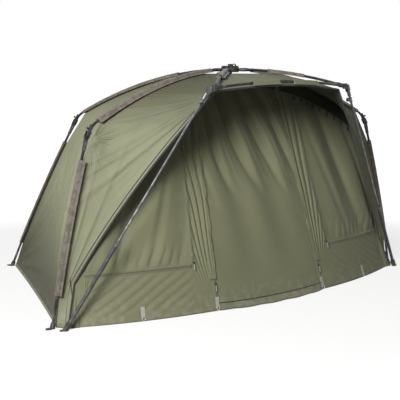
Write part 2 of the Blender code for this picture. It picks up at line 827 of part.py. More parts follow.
def hub_body_mesh():
    """A thick disc with a slot and a pin for each of the six ribs."""
    half = HUB_THICKNESS / 2
    inner = HUB_RADIUS - HUB_EDGE_BEVEL
    profile = [
        (0, half),
        (inner, half),
        (HUB_RADIUS, half - HUB_EDGE_BEVEL),
        (HUB_RADIUS, HUB_EDGE_BEVEL - half),
        (inner, -half),
        (0, -half),
    ]
    disc = turned(profile, HUB_SIDES)
    slot_width = HUB_TONGUE_THICKNESS + 2 * RUNNING_GAP
    slot_length = HUB_RADIUS - HUB_CORE_RADIUS + CUT_OVERRUN
    slots, pins = [], []
    for turn in all_turns():
        spin = Matrix.Rotation(turn, 4, "Z")
        reach = HUB_CORE_RADIUS + slot_length / 2
        slots.append(box(spin @ Vector((reach, 0, 0)), (slot_length, slot_width, 2 * HUB_THICKNESS), spin))
        across = slot_width / 2 + HUB_PIN_RADIUS / 2
        start = spin @ Vector((PIVOT_RADIUS, -across, 0))
        stop = spin @ Vector((PIVOT_RADIUS, across, 0))
        pins.append(cylinder(start, stop, HUB_PIN_RADIUS, HUB_PIN_SIDES))
    slotted = combine(disc, [], slots)
    return shade(combine(slotted, pins))


def hub_cap_mesh():
    """The thin lid over the rib pivots, with a round button in its middle."""
    top = CAP_THICKNESS + CAP_KNOB_HEIGHT
    profile = [
        (0, top),
        (CAP_KNOB_RADIUS - CAP_KNOB_BEVEL, top),
        (CAP_KNOB_RADIUS, top - CAP_KNOB_BEVEL),
        (CAP_KNOB_RADIUS, CAP_THICKNESS),
        (CAP_RADIUS - CAP_THICKNESS / 2, CAP_THICKNESS),
        (CAP_RADIUS, CAP_THICKNESS / 2),
        (CAP_RADIUS, 0),
        (0, 0),
    ]
    return shade(turned(profile, HUB_SIDES))


def arch_band_mesh(span, height, width, thickness):
    """A webbing loop: a band that rises from one end, crosses over and comes down at the other."""
    outline = []
    for outer in (True, False):
        half = span / 2 if outer else span / 2 - thickness
        rise = height if outer else height - thickness
        ring = []
        for step in range(NOSE_STEPS + 1):
            turn = math.pi * step / NOSE_STEPS
            ring.append((half * math.cos(turn), rise * math.sin(turn)))
        outline += ring if outer else list(reversed(ring))
    return shade(slab(outline, width))


def build_hub(home, looks, canopy_top):
    place("hub_body", hub_body_mesh(), home, looks["moulding"], None, HUB)
    lid = HUB + Z_AXIS * (HUB_THICKNESS / 2 + SEAT_GAP)
    place("hub_cap", hub_cap_mesh(), home, looks["moulding"], None, lid)
    loop = arch_band_mesh(LOOP_SPAN, LOOP_HEIGHT, LOOP_WIDTH, LOOP_THICKNESS)
    loop.transform(Matrix.Rotation(math.pi / 2, 4, "Z"))
    spot = lid + Z_AXIS * (CAP_THICKNESS + SEAT_GAP) + X_AXIS * LOOP_OFFSET
    place("hub_loop", loop, home, looks["webbing"], None, spot)
    high = HUB.z - HUB_THICKNESS / 2 - SEAT_GAP
    low = canopy_top + SEAT_GAP
    strap = box((0, 0, 0), (STRAP_WIDTH, STRAP_THICKNESS, high - low))
    place("hub_strap", strap, home, looks["webbing"], None, (HUB.x, HUB.y, (high + low) / 2))


# Brow: short ribs, bar halves, centre joint, corners and their sleeves


def brow_rib_mesh():
    """A short rib with a tongue at the hub, running into its corner socket."""
    line = brow_line()
    lug, ferrule, hole = hub_tongue(line)
    total = lengths_along(line)[-1]
    first = HUB_TONGUE_LENGTH + HUB_FERRULE_LENGTH / 2
    last = total - CORNER_SOCKET_FLOOR - SEAT_GAP
    bar = tube(stretch(line, first, last), TUBE_RADIUS)
    return shade(moved(combine(lug, [ferrule, bar], [hole]), -rib_pivot()))


def corner_point(side):
    return Vector((SIDES[side] * BROW_HALF_SPAN, -BROW_SETBACK, BROW_HEIGHT))


def pole_foot_point(side):
    return Vector((SIDES[side] * POLE_FOOT_HALF_SPAN, -POLE_FOOT_SETBACK, 0))


def pole_turn(side):
    """The angle in plan from a corner towards its storm pole's foot."""
    run = pole_foot_point(side) - corner_point(side)
    return math.atan2(run.y, run.x)


def pole_pivot(side):
    """The storm pole's pivot, a little outside the corner fitting."""
    out = Matrix.Rotation(pole_turn(side), 3, "Z") @ X_AXIS
    return corner_point(side) + out * CORNER_LUG_LENGTH


def bar_line(side):
    """The half bar from its corner to the joint in the middle, which is fixed to the left half."""
    inner = OPEN_PIVOT_GAP + JOINT_RADIUS / 2
    if side == "right":
        inner = JOINT_HALF_LENGTH + OPEN_PIVOT_GAP
    points = []
    for step in range(BAR_STEPS + 1):
        points.append(bar_point(SIDES[side] * blend(BROW_HALF_SPAN, inner, step / BAR_STEPS)))
    return points


def corner_mesh(side):
    """The moulding where the short rib, the brow bar and the storm pole meet."""
    corner = corner_point(side)
    post = cylinder(
        corner - Z_AXIS * CORNER_HEIGHT / 2,
        corner + Z_AXIS * CORNER_HEIGHT / 2,
        CORNER_RADIUS,
        FERRULE_SIDES,
    )
    rib = [to_world(point, brow_turn(side)) for point in brow_line()]
    bar = bar_line(side)
    sockets, bores = [], []
    for towards in (rib[-2], bar[1]):
        along = (towards - corner).normalized()
        mouth = corner + along * CORNER_SOCKET_LENGTH
        sockets.append(cylinder(corner, mouth, CORNER_SOCKET_RADIUS, FERRULE_SIDES))
        start = corner + along * CORNER_SOCKET_FLOOR
        stop = corner + along * (CORNER_SOCKET_LENGTH + CUT_OVERRUN)
        bores.append(cylinder(start, stop, TUBE_RADIUS + RUNNING_GAP, FERRULE_SIDES))
    pivot = pole_pivot(side)
    turn = Matrix.Rotation(pole_turn(side), 4, "Z")
    frame = Matrix.Translation(pivot) @ turn @ Matrix.Rotation(math.pi, 4, "Y")
    outline = tongue_outline(TONGUE_DEPTH, CORNER_LUG_LENGTH)
    lug = slab(outline, TONGUE_THICKNESS, frame)
    reach = Vector((0, TONGUE_THICKNESS, 0))
    hole = cylinder(frame @ -reach, frame @ reach, PIN_RADIUS + RUNNING_GAP, PIN_SIDES)
    body = combine(post, [*sockets, lug], [*bores, hole])
    return shade(moved(body, -corner))


def build_brow(home, looks):
    rib = brow_rib_mesh()
    line = brow_line()
    start = distance_at(line, lambda point: point.x - BROW_SLEEVE_START)
    end = distance_at(line, lambda point: point.x - BROW_SLEEVE_END)
    sleeve = moved(sleeve_mesh(stretch(line, start, end)), -rib_pivot())
    for side, sign in SIDES.items():
        base = empty(f"place_brow_{side}", home, (HUB.x, HUB.y, 0), brow_turn(side))
        place(f"brow_rib_{side}", rib, home, looks["tube"], base, rib_pivot())
        place(f"brow_rib_sleeve_{side}", sleeve, home, looks["sleeve"], base, rib_pivot())
        corner = corner_point(side)
        place(f"brow_corner_{side}", corner_mesh(side), home, looks["moulding"], None, corner)
        whole = bar_line(side)
        total = lengths_along(whole)[-1]
        bar = tube(stretch(whole, CORNER_SOCKET_FLOOR + SEAT_GAP, total), TUBE_RADIUS)
        bar = moved(bar, -corner)
        place(f"brow_bar_{side}", shade(bar), home, looks["tube"], None, corner)
        wrapped = []
        for step in range(BROW_SLEEVE_STEPS + 1):
            offset = blend(BAR_SLEEVE_INNER, BAR_SLEEVE_OUTER, step / BROW_SLEEVE_STEPS)
            wrapped.append(bar_point(sign * offset))
        cover = moved(sleeve_mesh(wrapped, SLEEVE_HALF_WIDTH, SLEEVE_HALF_DEPTH, Y_AXIS), -corner)
        place(f"brow_bar_sleeve_{side}", cover, home, looks["sleeve"], None, corner)
    left_end = bar_point(-JOINT_HALF_LENGTH)
    middle = bar_point(0)
    right_end = bar_point(JOINT_HALF_LENGTH)
    joint = tube([left_end, middle, right_end], JOINT_RADIUS, POLE_SIDES)
    tip = bar_point(-OPEN_PIVOT_GAP - JOINT_RADIUS / 2)
    past = left_end + (left_end - tip)
    seat = tip + (tip - left_end).normalized() * SEAT_GAP
    bore = cylinder(past, seat, TUBE_RADIUS + 2 * RUNNING_GAP, POLE_SIDES)
    joint = combine(joint, [], [bore])
    place("brow_joint", shade(moved(joint, -middle)), home, looks["moulding"], None, middle)


# Storm poles, each in a frame at its pivot with X along the pole


def pole_axis(side):
    """From a pole's pivot down to its foot."""
    return pole_foot_point(side) + Z_AXIS * POLE_FOOT_FLOOR - pole_pivot(side)


def pole_frame(side):
    """A frame at the pole's pivot: X runs down the pole and Y is the swing axis."""
    along = pole_axis(side).normalized()
    across = Z_AXIS.cross(along).normalized()
    up = along.cross(across)
    return Matrix((along, across, up)).transposed().to_4x4()


def rod_mesh(length):
    """The upper rod with its forked head and the boss for the thumb screw."""
    cheeks, ferrule, slot, pin, heads = fork_with_pin(Matrix.Identity(4))
    last = length - POLE_TUBE_LENGTH + POLE_TUBE_OVERLAP
    bar = tube([Vector((CHEEK_LENGTH, 0, 0)), Vector((last, 0, 0))], ROD_RADIUS, POLE_SIDES)
    spot = Vector((CHEEK_LENGTH + KNOB_OFFSET, 0, 0))
    boss = cylinder(spot, spot + Y_AXIS * KNOB_BOSS_REACH, KNOB_BOSS_RADIUS, POLE_SIDES)
    collar = cylinder(
        spot - X_AXIS * KNOB_COLLAR_LENGTH / 2,
        spot + X_AXIS * KNOB_COLLAR_LENGTH / 2,
        KNOB_BOSS_RADIUS,
        POLE_SIDES,
    )
    well = cylinder(
        spot + Y_AXIS * (KNOB_BOSS_REACH - KNOB_SEAT_DEPTH),
        spot + Y_AXIS * (KNOB_BOSS_REACH + CUT_OVERRUN),
        KNOB_SHANK_RADIUS + RUNNING_GAP,
        POLE_SIDES,
    )
    body = combine(cheeks, [ferrule, bar, collar, boss], [slot, well])
    return shade(combine(body, [pin, *heads]))


def pole_tube_mesh(length):
    """The lower tube, hollow for the rod, with its clamp collar at the top."""
    start = length - POLE_TUBE_LENGTH
    stop = length - POLE_FOOT_FLOOR
    outer = cylinder(X_AXIS * start, X_AXIS * stop, POLE_TUBE_RADIUS, POLE_SIDES)
    clamp = cylinder(
        X_AXIS * (start - CLAMP_HEIGHT / 4),
        X_AXIS * (start + CLAMP_HEIGHT),
        CLAMP_RADIUS,
        POLE_SIDES,
        POLE_TUBE_RADIUS + RUNNING_GAP,
    )
    bore = cylinder(
        X_AXIS * (start - CLAMP_HEIGHT),
        X_AXIS * (start + POLE_TUBE_OVERLAP + POLE_TRAVEL + CUT_OVERRUN),
        ROD_RADIUS + RUNNING_GAP,
        POLE_SIDES,
    )
    return shade(combine(outer, [clamp], [bore]))


def pole_foot_mesh(side, length):
    """The moulded foot on the lower tube, with a hook for the cloth, cut flat on the ground."""
    frame = pole_frame(side)
    to_ground = frame.inverted()
    start = length - POLE_FOOT_HEIGHT
    cup = cylinder(X_AXIS * start, X_AXIS * (length + POLE_FOOT_HEIGHT), POLE_FOOT_RADIUS, FOOT_SIDES)
    bore = cylinder(
        X_AXIS * (start - CUT_OVERRUN),
        X_AXIS * (length - POLE_FOOT_FLOOR + SEAT_GAP),
        POLE_TUBE_RADIUS + RUNNING_GAP,
        FOOT_SIDES,
    )
    hook = box((0, 0, 0), (POLE_HOOK_LENGTH, POLE_HOOK_WIDTH, POLE_HOOK_THICKNESS))
    out = Matrix.Rotation(pole_turn(side), 4, "Z")
    foot = pole_foot_point(side) - pole_pivot(side)
    hook.transform(out)
    lift = Z_AXIS * (POLE_HOOK_THICKNESS / 2)
    hook.transform(Matrix.Translation(foot + out.to_3x3() @ X_AXIS * POLE_HOOK_LENGTH / 2 + lift))
    hook.transform(to_ground)
    ground = box(
        foot - Z_AXIS * 2 * POLE_FOOT_HEIGHT,
        (8 * POLE_FOOT_HEIGHT, 8 * POLE_FOOT_HEIGHT, 4 * POLE_FOOT_HEIGHT),
    )
    ground.transform(to_ground)
    body = combine(cup, [hook], [bore, ground])
    return shade(body)


def knob_mesh():
    """A lobed thumb screw whose shank sits in the pole's boss, standing along Z."""
    base = KNOB_BOSS_REACH - KNOB_SEAT_DEPTH + SEAT_GAP
    under = KNOB_BOSS_REACH + SEAT_GAP
    shank = cylinder(Z_AXIS * base, Z_AXIS * (under + CUT_OVERRUN), KNOB_SHANK_RADIUS, POLE_SIDES)
    count = 4 * KNOB_LOBES
    ring = []
    for step in range(count):
        turn = 2 * math.pi * step / count
        reach = KNOB_RADIUS - KNOB_LOBE_DEPTH * (1 + math.cos(KNOB_LOBES * turn)) / 2
        ring.append((reach * math.cos(turn), reach * math.sin(turn)))
    head = slab(ring, KNOB_HEIGHT)
    head.transform(Matrix.Rotation(-math.pi / 2, 4, "X"))
    head.transform(Matrix.Translation(Z_AXIS * (under + KNOB_HEIGHT / 2)))
    return shade(combine(head, [shank]))


def build_poles(home, looks):
    knob = knob_mesh()
    for side in SIDES:
        frame = pole_frame(side)
        length = pole_axis(side).length
        pivot = pole_pivot(side)
        rod = place(f"pole_rod_{side}", rod_mesh(length), home, looks["pole"], None, pivot)
        lower = place(f"pole_tube_{side}", pole_tube_mesh(length), home, looks["pole_dark"], None, pivot)
        foot = place(f"pole_foot_{side}", pole_foot_mesh(side, length), home, looks["moulding"], None, pivot)
        screw = place(f"pole_knob_{side}", knob, home, looks["moulding"], None)
        for obj in (rod, lower, foot):
            obj.rotation_euler = frame.to_euler()
        spot = frame @ Vector((CHEEK_LENGTH + KNOB_OFFSET, 0, 0)) + pivot
        screw.location = spot
        screw.rotation_euler = (frame @ Matrix.Rotation(-math.pi / 2, 4, "X")).to_euler()


# Canopy


def arch_normal(line, spot):
    """The outward normal of a line in a rib's plane at one of its points."""
    before = line[max(spot - 1, 0)]
    after = line[min(spot + 1, len(line) - 1)]
    out = Y_AXIS.cross(after - before).normalized()
    return out if out.z >= 0 else -out


def cloth_under(point, normal, reach):
    """The cloth's outer face below a rib point, with the dip round the hub."""
    near = max(0.0, 1 - reach / CLOTH_HUB_DIP_REACH)
    return point - normal * CLOTH_SET - Z_AXIS * CLOTH_HUB_DIP * near**2


def rib_cloth_line(end):
    """The cloth's outer face along a long rib, row by row from beside the hub to under the ground."""
    upper = upper_line()
    leg = leg_line(foot_reach(end))
    corner_reach = Vector((BROW_HALF_SPAN, BROW_SETBACK - HUB_SETBACK)).length - CORNER_CLOTH_SETBACK
    corner = distance_at(upper, lambda point: point.x - corner_reach)
    sleeve = distance_at(upper, lambda point: point.x - UPPER_SLEEVE_END)
    points = portion(upper, 0, corner, TOP_ROWS)[1:] + portion(upper, corner, sleeve, ARCH_ROWS)[1:]
    rows = [cloth_under(p, arch_normal(points, i), p.x) for i, p in enumerate(points)]
    top = distance_at(leg, lambda point: point.z - LEG_SLEEVE_TOP)
    low = distance_at(leg, lambda point: point.z - LEG_SLEEVE_BOTTOM)
    points = portion(leg, top, low, LEG_ROWS)
    rows += [cloth_under(p, arch_normal(points, i), p.x) for i, p in enumerate(points)]
    inside = foot_reach(end) - FOOT_CLOTH_SETBACK
    rows.append(Vector((inside, 0, 0)))
    return rows


def edge_point(side, height):
    """The canopy's free front edge at a height: corner, knee and pole foot."""
    sign = SIDES[side]
    inward = Matrix.Rotation(brow_turn(side), 3, "Z") @ -X_AXIS
    corner = corner_point(side) + inward * CORNER_CLOTH_SETBACK - Z_AXIS * CORNER_CLOTH_DROP
    knee = Vector((sign * EDGE_KNEE_HALF_SPAN, -EDGE_KNEE_SETBACK, EDGE_KNEE_HEIGHT))
    foot = Vector((sign * EDGE_FOOT_HALF_SPAN, -EDGE_FOOT_SETBACK, 0))
    if height > knee.z:
        rise = min(1, (height - knee.z) / (corner.z - knee.z))
        bow = Vector((sign * EDGE_BOW, EDGE_BOW / 2, 0)) * 4 * rise * (1 - rise)
        return blend(knee, corner, rise) + bow
    return blend(foot, knee, height / knee.z)


def brow_cloth_line(side):
    """The cloth along a short rib, then down the free edge, on the same rows as the long ribs."""
    reach = Vector((BROW_HALF_SPAN, BROW_SETBACK - HUB_SETBACK)).length - CORNER_CLOTH_SETBACK
    line = brow_line()
    end = distance_at(line, lambda point: point.x - reach)
    points = portion(line, 0, end, TOP_ROWS)[1:]
    rows = [cloth_under(p, arch_normal(points, i), p.x) for i, p in enumerate(points)]
    rows = [to_world(p, brow_turn(side)) for p in rows]
    corner = edge_point(side, BROW_HEIGHT)
    drop = rows[-1] - corner
    count = len(rows)
    rows = [row - drop * ((i + 1) / count) ** 2 for i, row in enumerate(rows)]
    lower = rib_cloth_line("front")[TOP_ROWS:]
    for point in lower:
        rows.append(edge_point(side, point.z))
    return rows


def row_normal(line, spot):
    before = line[max(spot - 1, 0)]
    after = line[min(spot + 1, len(line) - 1)]
    return (after - before).normalized()


def span_rows(first, second, columns, sag, hem_share=0.35):
    """Rows of points from one seam line to the next, drawn in towards the middle of each span."""
    rows = []
    total = len(first)
    for spot in range(total):
        across = second[spot] - first[spot]
        down = row_normal(first, spot) + row_normal(second, spot)
        inward = across.cross(down).normalized()
        middle = (first[spot] + second[spot]) / 2
        towards = Vector((HUB.x, HUB.y + HUB_SETBACK, 0)) - middle
        if inward.dot(towards) < 0:
            inward.negate()
        share = spot / (total - 1)
        depth = sag * (math.sin(math.pi * min(1, share * 1.15)) + hem_share * share)
        row = []
        for step in range(columns + 1):
            part = step / columns
            row.append(first[spot] + across * part + inward * depth * 4 * part * (1 - part))
        rows.append(row)
    return rows


def sheet_from(bm, outward):
    """Closes a bmesh into an open sheet of triangles that faces outward."""
    bmesh.ops.triangulate(bm, faces=bm.faces)
    bmesh.ops.recalc_face_normals(bm, faces=bm.faces)
    bm.faces.ensure_lookup_table()
    if bm.faces[0].normal.dot(outward) < 0:
        bmesh.ops.reverse_faces(bm, faces=bm.faces)
    sheet = bpy.data.meshes.new("sheet")
    bm.to_mesh(sheet)
    bm.free()
    return sheet


def canopy_mesh():
    """One sheet over the whole frame: a dome cap, then walls that stop at the free front edges."""
    seams = {}
    for side in SIDES:
        seams["brow", side] = brow_cloth_line(side)
        for end in RIBS:
            line = rib_cloth_line(end)
            seams[end, side] = [to_world(p, rib_turn(end, side)) for p in line]
    spans = [
        span_rows(seams["brow", "right"], seams["front", "right"], FRONT_COLUMNS, FRONT_SAG),
        span_rows(seams["front", "right"], seams["rear", "right"], SIDE_COLUMNS, SIDE_SAG),
        span_rows(seams["rear", "right"], seams["rear", "left"], REAR_COLUMNS, REAR_SAG),
        span_rows(seams["rear", "left"], seams["front", "left"], SIDE_COLUMNS, SIDE_SAG),
        span_rows(seams["front", "left"], seams["brow", "left"], FRONT_COLUMNS, FRONT_SAG),
    ]
    walls = []
    for spot in range(len(spans[0])):
        row = list(spans[0][spot])
        for span in spans[1:]:
            row += span[spot][1:]
        walls.append(row)
    top = []
    for spot in range(TOP_ROWS):
        left, right = seams["brow", "left"][spot], seams["brow", "right"][spot]
        share = (spot + 1) / TOP_ROWS
        row = []
        for step in range(1, TOP_COLUMNS):
            part = step / TOP_COLUMNS
            point = blend(left, right, part)
            bow = 4 * part * (1 - part)
            bulge = Vector((0, -BAR_BULGE - CORNER_CLOTH_DROP, BAR_RISE)) * share**4
            point += bulge * bow - Z_AXIS * TOP_SAG * bow * math.sin(math.pi * share)
            row.append(point)
        top.append(row)
    bm = bmesh.new()
    centre = bm.verts.new(Vector((HUB.x, HUB.y, HUB.z - CLOTH_SET - CLOTH_HUB_DIP)))
    grid = [[bm.verts.new(p) for p in row] for row in walls]
    caps = [[bm.verts.new(p) for p in row] for row in top]
    for spot in range(TOP_ROWS):
        ring = grid[spot] + caps[spot]
        if spot == 0:
            for step in range(len(ring)):
                bm.faces.new((centre, ring[step], ring[(step + 1) % len(ring)]))
            continue
        above = grid[spot - 1] + caps[spot - 1]
        for step in range(len(ring)):
            nxt = (step + 1) % len(ring)
            bm.faces.new((above[step], above[nxt], ring[nxt], ring[step]))
    for spot in range(TOP_ROWS, len(grid)):
        for step in range(len(grid[0]) - 1):
            above, below = grid[spot - 1], grid[spot]
            bm.faces.new((above[step], above[step + 1], below[step + 1], below[step]))
    return sheet_from(bm, Z_AXIS)


def thicken(sheet, thickness):
    """A closed shell inside an open sheet, with its hem flat on the ground."""
    obj = bpy.data.objects.new("sheet", sheet)
    bpy.context.scene.collection.objects.link(obj)
    wall = obj.modifiers.new("cloth", "SOLIDIFY")
    wall.thickness = thickness
    wall.offset = -1
    shell = bake(obj)
    for vertex in shell.vertices:
        if vertex.co.z < HEM_REACH:
            vertex.co.z = 0
    return shell


# Front panel


def panel_point(share, height):
    """The front panel at a share of its half span, left to right, and a height."""
    ground = share * PANEL_HALF_SPAN
    forward = PANEL_BULGE * (1 - abs(share) ** PANEL_BULGE_POWER)
    rise = height / PANEL_LEAN_HEIGHT
    setback = PANEL_SETBACK + forward * (1 - rise) - PANEL_LEAN_BACK * rise
    tuck = PANEL_TUCK * abs(share) ** PANEL_TUCK_POWER * max(0, min(1, height / EDGE_KNEE_HEIGHT))
    taper = PANEL_TAPER_SHARE * share * (1 - share**2) * height
    return Vector((ground - taper, tuck - setback, height))


def panel_fold(share, height, head):
    """How far the cloth stands forward: soft slanting folds that die out at each zip, edge and hem."""
    across = abs(share)
    rise = (height - FOLD_FOOT) / (head - FOLD_FOOT)
    if DOOR_SHARE < across < WINDOW_SHARE or not 0 < rise < 1:
        return 0
    if across <= DOOR_SHARE:
        local = across / DOOR_SHARE
        depth, count = DOOR_FOLD, DOOR_FOLDS
        turn = count * (share / DOOR_SHARE) + FOLD_SLANT * rise
    else:
        local = abs(2 * (across - WINDOW_SHARE) / (1 - WINDOW_SHARE) - 1)
        depth, count = INFILL_FOLD, INFILL_FOLDS
        turn = count * across + FOLD_SLANT * rise
    edge = (1 - local**2) * math.sin(math.pi * rise)
    return depth * edge * math.sin(math.pi * turn)


def panel_head(canopy_tree, share):
    """The height at which the panel's own slope first meets the canopy."""
    low = panel_point(share, 0)
    high = panel_point(share, PANEL_LEAN_HEIGHT)
    along = (high - low).normalized()
    start = low + along * HEM_REACH
    hit = canopy_tree.ray_cast(start, along)[0]
    if hit is None:
        return 0
    return hit.z + PANEL_OVERRUN


def seam_guard(sheet):
    """The canopy with its seam gap inside and a margin outside, which trims the front panel to it."""
    inside = CLOTH + SEAM_GAP
    full = inside + SEAM_MARGIN
    obj = bpy.data.objects.new("guard", sheet.copy())
    bpy.context.scene.collection.objects.link(obj)
    wall = obj.modifiers.new("margin", "SOLIDIFY")
    wall.thickness = full
    wall.offset = (SEAM_MARGIN - inside) / full
    return bake(obj)


def panel_mesh(canopy_tree, guard, shares):
    """A piece of the front panel through some shares of its half span, up to the canopy."""
    bm = bmesh.new()
    grid = []
    for share in shares:
        head = panel_head(canopy_tree, share)
        column = []
        for spot in range(PANEL_ROWS + 1):
            rise = spot / PANEL_ROWS
            point = panel_point(share, head * rise)
            point.y -= panel_fold(share, point.z, head)
            column.append(bm.verts.new(point))
        grid.append(column)
    for left, right in zip(grid, grid[1:]):
        for spot in range(PANEL_ROWS):
            bm.faces.new((left[spot], right[spot], right[spot + 1], left[spot + 1]))
    panel = thicken(sheet_from(bm, -Y_AXIS), PANEL_CLOTH)
    panel = combine(panel, [], [guard.copy()])
    trimmed = bmesh.new()
    trimmed.from_mesh(panel)
    bmesh.ops.remove_doubles(trimmed, verts=trimmed.verts, dist=SEAT_GAP / 10)
    trimmed.to_mesh(panel)
    trimmed.free()
    return shade(panel)


def panel_frame(share, height):
    """A frame on the panel's front face: X across, Z up the cloth, -Y out of it."""
    spot = panel_point(share, height)
    up = (panel_point(share, height + HEM_REACH) - spot).normalized()
    across = (panel_point(share + ZIP_GAP, height) - spot).normalized()
    back = up.cross(across).normalized()
    across = back.cross(up)
    turn = Matrix((across, back, up)).transposed().to_4x4()
    return Matrix.Translation(spot) @ turn


def tab_mesh():
    """A webbing tab with a pegging ring moulded into its lower end."""
    strip = box((0, 0, TAB_LENGTH / 2 + TAB_RING_RADIUS), (TAB_WIDTH, TAB_THICKNESS, TAB_LENGTH))
    low = Vector((0, -TAB_THICKNESS, TAB_RING_RADIUS))
    high = low + Y_AXIS * TAB_THICKNESS * 1.5
    ring = cylinder(low, high, TAB_RING_RADIUS, POLE_SIDES)
    bore = cylinder(low - Y_AXIS * CUT_OVERRUN, high + Y_AXIS * CUT_OVERRUN, TAB_RING_BORE, POLE_SIDES)
    return shade(combine(strip, [ring], [bore]))


def slider_mesh():
    """A zip slider with its pull hanging from it."""
    body = box((0, 0, 0), (SLIDER_WIDTH, SLIDER_THICKNESS, SLIDER_LENGTH))
    drop = SLIDER_LENGTH / 2 + PULL_LENGTH / 2 - CUT_OVERRUN
    front = (PULL_THICKNESS - SLIDER_THICKNESS) / 2
    pull = box((0, front + PULL_THICKNESS / 4, -drop), (PULL_WIDTH, PULL_THICKNESS, PULL_LENGTH))
    return combine(body, [pull])


def build_panel_details(home, looks):
    """Peg tabs along the hem and sliders on the zips, all just clear of the cloth."""
    tab = tab_mesh()
    slider = slider_mesh()
    for side, sign in SIDES.items():
        for name, share in (("door", DOOR_TAB_SHARE), ("mid", MID_TAB_SHARE)):
            frame = panel_frame(sign * share, 0)
            spot = frame.translation - (frame.to_3x3() @ Y_AXIS) * (TAB_THICKNESS / 2 + SEAT_GAP)
            spot.z = TAB_THICKNESS
            obj = place(f"peg_tab_{name}_{side}", tab, home, looks["webbing_pale"], None, spot)
            obj.rotation_euler = frame.to_euler()
        for name, share, height in (
            ("door", DOOR_SHARE, DOOR_SLIDER_HEIGHT),
            ("window", WINDOW_SHARE, WINDOW_SLIDER_HEIGHT),
        ):
            frame = panel_frame(sign * share, height)
            clear = SLIDER_THICKNESS / 2 + SEAT_GAP
            spot = frame.translation - (frame.to_3x3() @ Y_AXIS) * clear
            obj = place(f"zip_slider_{name}_{side}", slider, home, looks["moulding"], None, spot)
            obj.rotation_euler = frame.to_euler()


def build_cover(home, looks):
    """The canopy and the three pieces of the front panel."""
    sheet = canopy_mesh()
    guard = seam_guard(sheet)
    shell = shade(thicken(sheet, CLOTH))
    place("canopy", shell, home, looks["cloth"])
    cutting = bmesh.new()
    cutting.from_mesh(shell)
    tree = BVHTree.FromBMesh(cutting)
    cutting.free()
    gap = ZIP_GAP / PANEL_HALF_SPAN / 2
    edge = DOOR_SHARE - gap
    door = [blend(-edge, edge, step / DOOR_COLUMNS) for step in range(DOOR_COLUMNS + 1)]
    half = INFILL_COLUMNS // 2
    inner = [blend(WINDOW_SHARE, MID_TAB_SHARE, step / half) for step in range(half)]
    outer = [blend(MID_TAB_SHARE, 1, step / half) for step in range(half + 1)]
    side = [DOOR_SHARE + gap] + inner + outer
    pieces = {"infill_left": [-share for share in reversed(side)], "door": door, "infill_right": side}
    for name, shares in pieces.items():
        place(name, panel_mesh(tree, guard, shares), home, looks["panel"])
    heights = []
    for x in (-STRAP_WIDTH / 2, STRAP_WIDTH / 2):
        for y in (-STRAP_THICKNESS / 2, STRAP_THICKNESS / 2):
            heights.append(tree.ray_cast(HUB + Vector((x, y, 0)), -Z_AXIS)[0].z)
    return max(heights)


def main():
    clear_scene()
    home = collection("bivvy_tent")
    looks = {
        "tube": material("rib_tube", (0.020, 0.020, 0.021), 0.42, 0.6),
        "pole": material("pole_rod", (0.30, 0.31, 0.32), 0.35, 0.9),
        "pole_dark": material("pole_tube", (0.12, 0.12, 0.13), 0.40, 0.8),
        "moulding": material("moulding", (0.022, 0.022, 0.022), 0.50),
        "webbing": material("webbing", (0.025, 0.025, 0.024), 0.85),
        "webbing_pale": material("webbing_pale", (0.33, 0.34, 0.30), 0.80),
        "sleeve": material("sleeve", (0.155, 0.120, 0.098), 0.90),
        "cloth": material("canopy_cloth", (0.30, 0.31, 0.22), 0.80),
        "panel": material("panel_cloth", (0.19, 0.19, 0.115), 0.85),
    }
    canopy_top = build_cover(home, looks)
    build_hub(home, looks, canopy_top)
    build_ribs(home, looks)
    build_brow(home, looks)
    build_poles(home, looks)
    build_panel_details(home, looks)


if __name__ == "__main__":
    main()
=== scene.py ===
"""A one-person bivvy tent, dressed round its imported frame: cloth, sleeves, zips, webbing, tubes and mouldings.

The tent stands on +Z and its front faces -Y. All sizes are in metres.
"""

import math

import bpy
import numpy as np
from bpy.props import FloatProperty, FloatVectorProperty, IntProperty, PointerProperty
from mathutils import Matrix, Vector
from mathutils.bvhtree import BVHTree


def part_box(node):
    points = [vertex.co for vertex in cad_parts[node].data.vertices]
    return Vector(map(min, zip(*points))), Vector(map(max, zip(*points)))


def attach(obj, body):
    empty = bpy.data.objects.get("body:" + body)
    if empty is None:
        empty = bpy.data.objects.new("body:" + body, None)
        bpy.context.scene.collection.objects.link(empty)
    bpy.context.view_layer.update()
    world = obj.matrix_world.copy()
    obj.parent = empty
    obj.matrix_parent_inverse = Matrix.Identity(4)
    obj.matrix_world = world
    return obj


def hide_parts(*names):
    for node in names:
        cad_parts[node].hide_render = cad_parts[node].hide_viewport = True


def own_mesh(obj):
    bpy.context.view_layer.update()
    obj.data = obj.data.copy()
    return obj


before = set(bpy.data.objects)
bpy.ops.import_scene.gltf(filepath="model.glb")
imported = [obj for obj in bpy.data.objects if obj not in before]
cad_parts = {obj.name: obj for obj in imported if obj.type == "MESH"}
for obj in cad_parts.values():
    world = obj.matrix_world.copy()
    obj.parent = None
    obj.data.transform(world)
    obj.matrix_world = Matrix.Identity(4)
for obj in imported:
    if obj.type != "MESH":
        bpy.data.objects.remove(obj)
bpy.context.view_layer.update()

bl_info = {
    "name": "Bivvy tent",
    "version": (1, 0, 0),
    "blender": (4, 5, 0),
    "location": "View3D > Sidebar > Bivvy tent",
    "description": "Cloth, sleeves, zips and finishes for a ribbed bivvy tent",
    "category": "Object",
}

